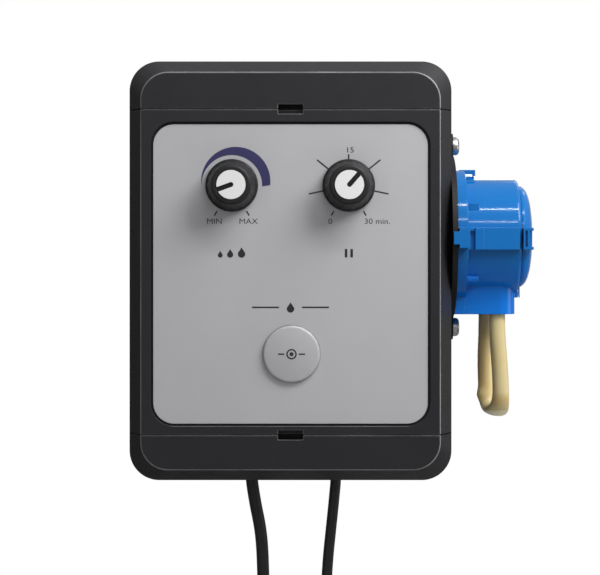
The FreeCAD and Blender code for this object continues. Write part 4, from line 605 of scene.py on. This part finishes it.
# ---- Box: a tray against the wall, a lid, and a snap-on cover at each end
# All four are moulded in black ABS with a fine spark-eroded grain. The front edges are a little
# rounded, and a narrow seam with a pry notch parts each cover from the lid.
PANEL_HALF_W = 0.0715
PANEL_HALF_H = 0.0775
EDGE_HIGHLIGHT_AT = -0.78  # the y part of the normal half way round a front edge


def black_abs():
    """The grain of the mould, faint drifts of tone, and a patchy painted highlight along the outer
    front edges.
    """
    material, nodes, shader = new_finish("box_black")
    place = nodes.add("ShaderNodeTexCoord", out="Object")
    across = nodes.add("ShaderNodeSeparateXYZ", None, {"Vector": place}, "X")
    up = nodes.add("ShaderNodeSeparateXYZ", None, {"Vector": place}, "Z")
    # Painted highlight: the outer front edges are painted paler half way round their rounding.
    outside = (across.math("ABSOLUTE", across) > PANEL_HALF_W).most(
        up.math("ABSOLUTE", up) > PANEL_HALF_H
    )
    corner = nodes.add("ShaderNodeBevel", {"samples": 6}, {"Radius": 0.0006})
    slope = nodes.add("ShaderNodeSeparateXYZ", None, {"Vector": corner}, "Y") - EDGE_HIGHLIGHT_AT
    rounded = (1 - slope * slope * 24.0).most(0.0)
    edge_highlight = rounded * outside * (nodes.noise(45, 4) * 1.2 + 0.1).least(1.0)
    drift = nodes.blend(nodes.noise(30, 4), (0.0105, 0.0103, 0.0125), (0.016, 0.0157, 0.0182))
    # The pale grey is the painted edge highlight.
    colour = nodes.blend(edge_highlight, drift, (0.3, 0.297, 0.303))
    connect(nodes.tree, shader.inputs["Base Color"], colour)
    edge_roughness = nodes.noise(140, 4) * 0.14 + 0.38 - edge_highlight * 0.12
    connect(nodes.tree, shader.inputs["Roughness"], edge_roughness)
    height = nodes.noise(2400, 4)
    values = {"Height": height, "Strength": 0.35, "Distance": 0.00007, "Normal": corner}
    connect(nodes.tree, shader.inputs["Normal"], nodes.add("ShaderNodeBump", None, values))
    shader.inputs["Specular IOR Level"].default_value = 0.32
    return material


box_black = black_abs()
for node in ("back_shell", "front_lid", "top_end_cover", "bottom_end_cover"):
    dressed(node, box_black)
dressed("lid_gasket", rubber_black)
dressed("lid_screws", steel)

# ---- Panel: a thin satin plate in the lid's recess, with the two printed scales
# The plate is grey lacquered metal with a silk-fine grain. The marks are screen printed: a wedge
# that widens with the dose, the ends of each scale, and seven strokes for the minutes.
PANEL_FRONT_Y = -0.089
PRINT_T = 0.00003
LEFT_DIAL = (-0.0294, 0.0428)
RIGHT_DIAL = (0.0291, 0.0428)
WEDGE_IN_R = 0.0152
WEDGE_OUT_R = 0.01735
WEDGE_SHIFT = 0.002
STROKE_W = 0.00075
LONG_STROKE = (0.0128, 0.0204)  # a stroke's inner and outer ends, from the dial's middle
SHORT_STROKE = (0.0148, 0.0174)
TOP_STROKE = (0.0128, 0.0156)
MARK_H = 0.0028
MARK_Z = 0.0236
TOP_MARK_Z = 0.0593
MARK_WIDTH = 1.15  # how much wider than the plain face the marks are
FIGURE_SHARE = 0.729  # height of the face's figures, of its size
DROP_ROUND = 0.36  # radius of a drop's round end, of its height
DROP_STEPS = 16
SIGN_BAR = 0.0008

panel_grey = plastic(
    "panel_grey", ((0.37, 0.37, 0.385), (0.405, 0.405, 0.42)),
    roughness=0.42, grain=3000, depth=0.00004, edge=0.0003, specular=0.5, uneven=0.08,
)
dressed("front_panel", panel_grey)


def ink(name, colour):
    """Screen ink, a little thinner in small spots."""
    material, nodes, shader = new_finish(name)
    thin = tuple(0.008 + 0.95 * c for c in colour)
    tone = nodes.blend(nodes.noise(1500, 3), colour, thin)
    connect(nodes.tree, shader.inputs["Base Color"], tone)
    connect(nodes.tree, shader.inputs["Roughness"], nodes.noise(700) * 0.1 + 0.4)
    return material


ink_indigo = ink("ink_indigo", (0.02, 0.017, 0.085))
ink_black = ink("ink_black", (0.006, 0.006, 0.008))


def printed(name, shapes, material):
    """Flat outlines, given as lists of (x, z), printed on the panel as one thin raised layer."""
    form = bmesh.new()
    for shape in shapes:
        backs = [form.verts.new((x, PANEL_FRONT_Y, z)) for x, z in shape]
        fronts = [form.verts.new((x, PANEL_FRONT_Y - PRINT_T, z)) for x, z in shape]
        form.faces.new(fronts)
        form.faces.new(reversed(backs))
        for k in range(len(shape)):
            form.faces.new((fronts[k - 1], backs[k - 1], backs[k], fronts[k]))
    mesh = mesh_of(name, form)
    mesh.materials.append(material)
    placed(name, mesh, "box", "panel_satin")


def at_angle(dial, angle, radius):
    """A point on a dial's scale, at an angle clockwise from the top."""
    turn = math.radians(angle)
    return Vector((dial[0] + radius * math.sin(turn), dial[1] + radius * math.cos(turn)))


def stroke(dial, angle, start, end):
    first, last = at_angle(dial, angle, start), at_angle(dial, angle, end)
    aside = (last - first).orthogonal().normalized() * (STROKE_W / 2)
    return [tuple(p) for p in (first - aside, first + aside, last + aside, last - aside)]


wedge = [at_angle(LEFT_DIAL, a, WEDGE_IN_R) for a in range(-88, 94, 4)]
wedge_far = (LEFT_DIAL[0] + WEDGE_SHIFT, LEFT_DIAL[1] + WEDGE_SHIFT)
wedge += [at_angle(wedge_far, a, WEDGE_OUT_R) for a in range(96, -98, -4)]
printed("dose_wedge", [[tuple(p) for p in wedge]], ink_indigo)

strokes = [stroke(RIGHT_DIAL, angle, *LONG_STROKE) for angle in (-102, -51, 51, 102)]
strokes.append(stroke(RIGHT_DIAL, 0, *TOP_STROKE))
for dial in (LEFT_DIAL, RIGHT_DIAL):
    strokes += [stroke(dial, angle, *SHORT_STROKE) for angle in (-150, 150)]
printed("scale_strokes", strokes, ink_black)


def words(name, text, middle_x, base_z):
    """Plain scale marks in an ordinary upright face, as a thin printed layer."""
    data = bpy.data.curves.new(name, "FONT")
    data.body = text
    data.align_x = "CENTER"
    data.size = MARK_H / FIGURE_SHARE
    data.extrude = PRINT_T / 2
    holder = bpy.data.objects.new(name, data)
    bpy.context.scene.collection.objects.link(holder)
    bpy.context.view_layer.update()
    depsgraph = bpy.context.evaluated_depsgraph_get()
    mesh = bpy.data.meshes.new_from_object(holder.evaluated_get(depsgraph))
    bpy.data.objects.remove(holder)
    for vertex in mesh.vertices:
        x, z, y = vertex.co
        vertex.co = (middle_x + x * MARK_WIDTH, PANEL_FRONT_Y - PRINT_T / 2 - y, base_z + z)
    mesh.materials.clear()
    mesh.materials.append(ink_black)
    placed(name, mesh, "box", "panel_satin")


words("mark_min", "MIN", -0.0381, MARK_Z)
words("mark_max", "MAX", -0.0211, MARK_Z)
words("mark_0", "0", 0.0199, MARK_Z)
words("mark_15", "15", 0.0297, TOP_MARK_Z)
words("mark_30", "30 min.", 0.0434, MARK_Z)


def drop(x, z, size):
    """A drop of liquid, standing on its round end."""
    r = size * DROP_ROUND
    outline = [(x, z + size - r)]
    for i in range(DROP_STEPS + 1):
        turn = math.radians(50 - 280 * i / DROP_STEPS)
        outline.append((x + r * math.cos(turn), z + r * math.sin(turn)))
    return outline


def bar(x, z, wide, high):
    return [
        (x - wide / 2, z), (x + wide / 2, z), (x + wide / 2, z + high), (x - wide / 2, z + high),
    ]


dose_drops = [
    drop(-0.0352, 0.0079, 0.0034),
    drop(-0.0302, 0.0082, 0.0043),
    drop(-0.0245, 0.0085, 0.0052),
]
printed("sign_dose", dose_drops, ink_black)
printed("sign_pause", [bar(x, 0.0068, 0.0013, 0.0042) for x in (0.0278, 0.0306)], ink_black)
by_hand = [drop(0.0, -0.0190, 0.0052)]
by_hand += [bar(x, -0.0186, 0.0135, SIGN_BAR) for x in (-0.0125, 0.0125)]
printed("sign_by_hand", by_hand, ink_black)

# ---- Knobs: two tapered knobs of black resin, each with a white cap let into its top
# The knob flares at its foot and has soft grip flutes. The pressed-in cap has a slot from its
# middle to its edge, through which the black of the knob shows as the pointer.
KNOB_FOOT_Y = -0.0898
CAP_TOP_Y = -0.1049
CAP_R = 0.0072
CAP_CLEAR = 0.0001  # how far below its top and inside its rim the cap's slot begins
FLUTES = 18
FLUTE_DEEP = 0.00022
FLUTE_LOW_Y = -0.0924
FLUTE_HIGH_Y = -0.1035
KNOB_PROFILE = [  # height above the foot, and radius
    (0.0, 0.0076), (0.0, 0.0126), (0.0002, 0.0130), (0.0007, 0.0132), (0.0016, 0.0131),
    (0.0021, 0.0128), (0.0024, 0.0124), (0.0028, 0.0122), (0.0034, 0.0121), (0.0060, 0.0116),
    (0.0090, 0.0110), (0.0120, 0.0104), (0.0131, 0.01015), (0.0138, 0.0099), (0.0143, 0.0095),
    (0.0145, 0.0090), (0.0145, 0.0078), (0.0144, 0.00745), (0.0140, 0.0073), (0.0132, 0.00725),
    (0.0132, 0.0),
]


def turned(name, profile, x, z, foot_y, sides):
    """A body of revolution about the y direction; profile is (height towards the front, radius)."""
    form = bmesh.new()
    rings = []
    for height, radius in profile:
        y = foot_y - height
        if radius == 0:
            rings.append([form.verts.new((x, y, z))])
            continue
        ring = []
        for k in range(sides):
            turn = 2 * math.pi * k / sides
            across, up = radius * math.sin(turn), radius * math.cos(turn)
            ring.append(form.verts.new((x + across, y, z + up)))
        rings.append(ring)
    for first, second in zip(rings, rings[1:]):
        for k in range(sides):
            if len(first) == 1:
                corners = (first[0], second[k - 1], second[k])
            elif len(second) == 1:
                corners = (first[k], first[k - 1], second[0])
            else:
                corners = (first[k], first[k - 1], second[k - 1], second[k])
            form.faces.new(corners)
    return mesh_of(name, form)


def fluted(middle):
    """A tree that presses grip flutes into a knob's cone, deepest half way up."""
    tree = bpy.data.node_groups.new("grip_flutes", "GeometryNodeTree")
    face = tree.interface
    face.new_socket("Geometry", in_out="INPUT", socket_type="NodeSocketGeometry")
    sockets = {}
    for name in ("Flutes", "Depth", "Low", "High"):
        sockets[name] = face.new_socket(name, in_out="INPUT", socket_type="NodeSocketFloat")
    sockets["Finish"] = face.new_socket("Finish", in_out="INPUT", socket_type="NodeSocketMaterial")
    face.new_socket("Geometry", in_out="OUTPUT", socket_type="NodeSocketGeometry")
    nodes = Nodes(tree)
    start = nodes.add("NodeGroupInput")
    given = {s.name: Wire(tree, s) for s in start.socket.node.outputs}
    position = nodes.add("GeometryNodeInputPosition")
    parts = {
        axis: nodes.add("ShaderNodeSeparateXYZ", None, {"Vector": position}, axis) for axis in "XYZ"
    }
    across, up = parts["X"] - middle[0], parts["Z"] - middle[1]
    turn = across.math("ARCTAN2", across, up)
    wave = (turn * given["Flutes"]).math("COSINE", turn * given["Flutes"]) * 0.5 + 0.5
    height = (given["Low"] - parts["Y"]) / (given["Low"] - given["High"])
    inside = (height > 0.0) * (1 - height) * 4.0
    deep = wave * given["Depth"] * inside.most(0.0).least(1.0)
    reach = (across * across + up * up) ** 0.5
    inward = deep / reach.most(0.001)
    offset = nodes.add(
        "ShaderNodeCombineXYZ", None, {"X": across * inward * -1.0, "Z": up * inward * -1.0}
    )
    moved = nodes.add(
        "GeometryNodeSetPosition", None, {"Geometry": given["Geometry"], "Offset": offset}
    )
    real = nodes.add("GeometryNodeRealizeInstances", None, {"Geometry": moved})
    painted = nodes.add(
        "GeometryNodeSetMaterial", None, {"Geometry": real, "Material": given["Finish"]}
    )
    end = tree.nodes.new("NodeGroupOutput")
    connect(tree, end.inputs[0], painted)
    return tree, {name: socket.identifier for name, socket in sockets.items()}


def grown(name, mesh, tree, values):
    """The plain mesh that a Geometry Nodes tree makes of this one."""
    holder = bpy.data.objects.new(name, mesh)
    bpy.context.scene.collection.objects.link(holder)
    modifier = holder.modifiers.new("growth", "NODES")
    modifier.node_group = tree
    for identifier, value in values.items():
        modifier[identifier] = value
    bpy.context.view_layer.update()
    depsgraph = bpy.context.evaluated_depsgraph_get()
    made = bpy.data.meshes.new_from_object(holder.evaluated_get(depsgraph))
    bpy.data.objects.remove(holder)
    return made


knob_black = plastic(
    "knob_black", ((0.0085, 0.008, 0.0085), (0.014, 0.013, 0.014)),
    roughness=0.42, grain=1300, depth=0.0001, edge=0.0003, specular=0.3,
)
cap_white = plastic(
    "cap_white", ((0.66, 0.66, 0.66), (0.72, 0.72, 0.715)),
    roughness=0.36, grain=1500, depth=0.00004, edge=0.0002,
)
pointer_black = plastic(
    "pointer_black", ((0.004, 0.004, 0.004), (0.008, 0.008, 0.008)),
    roughness=0.5, grain=1300, depth=0.0001, edge=0.0002, specular=0.25,
)
pot_steel = metal("pot_steel", (0.50, 0.50, 0.51), 0.3)

for side, dial, pointer in (("left", LEFT_DIAL, -110), ("right", RIGHT_DIAL, 41)):
    tree, names = fluted(dial)
    plain = turned(side + "_knob_form", KNOB_PROFILE, *dial, KNOB_FOOT_Y, 180)
    values = {
        names["Flutes"]: float(FLUTES),
        names["Depth"]: FLUTE_DEEP,
        names["Low"]: FLUTE_LOW_Y,
        names["High"]: FLUTE_HIGH_Y,
        names["Finish"]: knob_black,
    }
    mesh = grown(side + "_knob_form", plain, tree, values)
    mesh.name = side + "_knob_skin"
    mesh.shade_smooth()
    mesh.set_sharp_from_angle(angle=math.radians(50))
    placed(side + "_knob_skin", mesh, side + "_dial", "knob_black", side + "_knob")
    dressed(
        side + "_knob_cap", cap_white, pointer_black,
        lambda place: place.y > CAP_TOP_Y + CAP_CLEAR
        and math.hypot(place.x - dial[0], place.z - dial[1]) < CAP_R - CAP_CLEAR,
    )

# ---- Push button: a broad domed disc of the panel's grey, which springs back when pressed
# It is moulded in one piece with its stem, and a rubber cone behind it pushes it out. The sign
# printed on its face is a dot in a ring, with a short line on each side.
BUTTON = (0.0005, -0.0415)
LIP_IN_R = 0.01424
LIP_OUT_R = 0.01448
LIP_T = 0.0006
AHEAD_Y = -0.2  # in front of the whole pump
SIGN_OUT = 0.0052  # from the button's middle to the middle of each line of its sign

button_grey = plastic(
    "button_grey", ((0.365, 0.365, 0.378), (0.395, 0.395, 0.408)),
    roughness=0.34, grain=1800, depth=0.00005, edge=0.0014, specular=0.8,
)
button_shader = button_grey.node_tree.nodes["Principled BSDF"]
button_shader.inputs["Subsurface Weight"].default_value = 0.4
button_shader.inputs["Subsurface Radius"].default_value = (1.0, 1.0, 1.0)
button_shader.inputs["Subsurface Scale"].default_value = 0.003
dressed("push_button", button_grey)


def printed_on(name, shapes, body, node, material):
    """Outlines printed on a node's front, each a closed list of (x, z) round its own middle."""
    face = BVHTree.FromPolygons(
        [v.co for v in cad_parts[node].data.vertices],
        [p.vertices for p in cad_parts[node].data.polygons],
    )
    form = bmesh.new()
    for outer, inner in shapes:
        rings = []
        for points, lift in ((outer, 0.0), (outer, PRINT_T), (inner, PRINT_T), (inner, 0.0)):
            ring = []
            for x, z in points:
                hit = face.ray_cast(Vector((x, AHEAD_Y, z)), Vector((0, 1, 0)))[0]
                ring.append(form.verts.new((x, hit.y - lift, z)))
            rings.append(ring)
        join_rings(form, rings)
    mesh = mesh_of(name, form)
    mesh.materials.append(material)
    placed(name, mesh, body, "panel_satin")


def circle(middle, radius, sides=96):
    turns = [2 * math.pi * k / sides for k in range(sides)]
    return [(middle[0] + radius * math.cos(a), middle[1] + radius * math.sin(a)) for a in turns]


def slim(middle, wide, high):
    """A flat bar round its middle, and the same bar with no height, as a ring's two edges."""
    x, z = middle
    edge = bar(x, z - high / 2, wide, high)
    core = [(edge_x, z) for edge_x, edge_z in edge]
    return edge, core


# The rubber cone behind the button, as a copy of its CAD node with its seams merged.
cone_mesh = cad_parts["button_dome"].data.copy()
cone_form = bmesh.new()
cone_form.from_mesh(cone_mesh)
bmesh.ops.remove_doubles(cone_form, verts=cone_form.verts, dist=0.000001)
cone_form.to_mesh(cone_mesh)
cone_form.free()
cone_mesh.materials.clear()
cone_mesh.materials.append(rubber_black)
cone = placed("return_cone", cone_mesh, "box", "gasket_rubber", "button_dome")
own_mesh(cone)

# A thin lip of grey silicone keeps splashes out of the gap round the button.
lip_form = bmesh.new()
lip_rings = []
for radius, y in (
    (LIP_IN_R, PANEL_FRONT_Y), (LIP_OUT_R, PANEL_FRONT_Y),
    (LIP_OUT_R, PANEL_FRONT_Y + LIP_T), (LIP_IN_R, PANEL_FRONT_Y + LIP_T),
):
    lip_rings.append([lip_form.verts.new((x, y, z)) for x, z in circle(BUTTON, radius)])
join_rings(lip_form, lip_rings)
lip_mesh = mesh_of("button_lip", lip_form)
lip_mesh.materials.append(button_grey)
placed("button_lip", lip_mesh, "box", "panel_satin")

printed_on(
    "sign_push",
    [
        (circle(BUTTON, 0.0026), circle(BUTTON, 0.0019)),
        (circle(BUTTON, 0.001), circle(BUTTON, 0.0001)),
        slim((BUTTON[0] - SIGN_OUT, BUTTON[1]), 0.0031, 0.0007),
        slim((BUTTON[0] + SIGN_OUT, BUTTON[1]), 0.0031, 0.0007),
    ],
    "button", "push_button", ink_black,
)

# ---- Flange and screws: the black disc that carries the pump head on the side of the box
# It is moulded in the box's black with a duller face. A zinc-plated pan-head screw holds each of
# its two ears.
flange_black = plastic(
    "flange_black", ((0.007, 0.007, 0.008), (0.011, 0.011, 0.012)),
    roughness=0.48, grain=1600, depth=0.00008, edge=0.0004, specular=0.22,
)
dressed("pump_flange", flange_black)
dressed("flange_screws", steel)

# ---- Pump head: a base, a housing and a domed cover, injection moulded in glossy blue
# The three are of one batch of polypropylene. It is glossy as it comes from the mould, with a very
# slight waviness. Towards the bottom its blue is painted lighter and purer: painted light.
PAINTED_LIGHT_BELOW_Z = 0.0085
head_blue = plastic(
    "head_blue", ((0.0048, 0.115, 0.36), (0.006, 0.135, 0.41)),
    roughness=0.09, grain=420, depth=0.00005, edge=0.0006, specular=0.27, uneven=0.04,
)
blue_nodes = Nodes(head_blue.node_tree)
blue_place = blue_nodes.add("ShaderNodeTexCoord", out="Object")
blue_up = blue_nodes.add("ShaderNodeSeparateXYZ", None, {"Vector": blue_place}, "Z")
# Painted light: below this height the blue turns lighter and purer.
painted_light_below = ((blue_up - PAINTED_LIGHT_BELOW_Z) * -90.0).most(0.0).least(1.0)
blue_shader = head_blue.node_tree.nodes["Principled BSDF"]
drift = Wire(head_blue.node_tree, blue_shader.inputs["Base Color"].links[0].from_socket)
blue_with_painted_light = blue_nodes.blend(painted_light_below, drift, (0.0028, 0.14, 0.54))
connect(head_blue.node_tree, blue_shader.inputs["Base Color"], blue_with_painted_light)
for node in ("head_base", "head_housing", "head_cover"):
    dressed(node, head_blue)

# ---- Inside: the drive, the electronics and the rotor
# None of it is seen with the covers on. The board is green laminate, the gears and the rotor are
# nylon, the windings are copper, and shafts, nuts and screws are plated steel.
board_green = plastic(
    "board_green", ((0.008, 0.09, 0.035), (0.012, 0.13, 0.05)),
    roughness=0.35, grain=900, depth=0.00005, edge=0.0001,
)
core_iron = metal("core_iron", (0.16, 0.16, 0.17), 0.45)
coil_copper = metal("coil_copper", (0.60, 0.24, 0.10), 0.35)
gear_nylon = plastic(
    "gear_nylon", ((0.62, 0.60, 0.53), (0.70, 0.68, 0.61)),
    roughness=0.4, grain=900, depth=0.00005, edge=0.0002,
)
bush_brass = metal("bush_brass", (0.62, 0.44, 0.18), 0.25)
INSIDE = {
    "left_pot_shaft": pot_steel,
    "left_pot_body": pot_steel,
    "right_pot_shaft": pot_steel,
    "right_pot_body": pot_steel,
    "pot_nuts": steel,
    "button_guide": gear_nylon,
    "push_switch": moulded_black,
    "circuit_board": board_green,
    "board_screws": steel,
    "transformer_core": core_iron,
    "transformer_coil": coil_copper,
    "terminal_block": moulded_black,
    "cable_clamps": moulded_black,
    "clamp_screws": steel,
    "flange_nuts": steel,
    "gearbox_screws": steel,
    "gearbox_case": moulded_black,
    "gearbox_cover": moulded_black,
    "motor_can": pot_steel,
    "motor_pinion": bush_brass,
    "idler_gear": gear_nylon,
    "idler_pin": steel,
    "output_gear": gear_nylon,
    "drive_shaft": steel,
    "shaft_bush": bush_brass,
    "rotor": gear_nylon,
    "roller_1": steel,
    "roller_2": steel,
    "roller_3": steel,
    "roller_pins": steel,
    "pump_tube": hose_mesh.materials[0],
    "tube_connectors": gear_nylon,
}
for node, material in INSIDE.items():
    dressed(node, material)
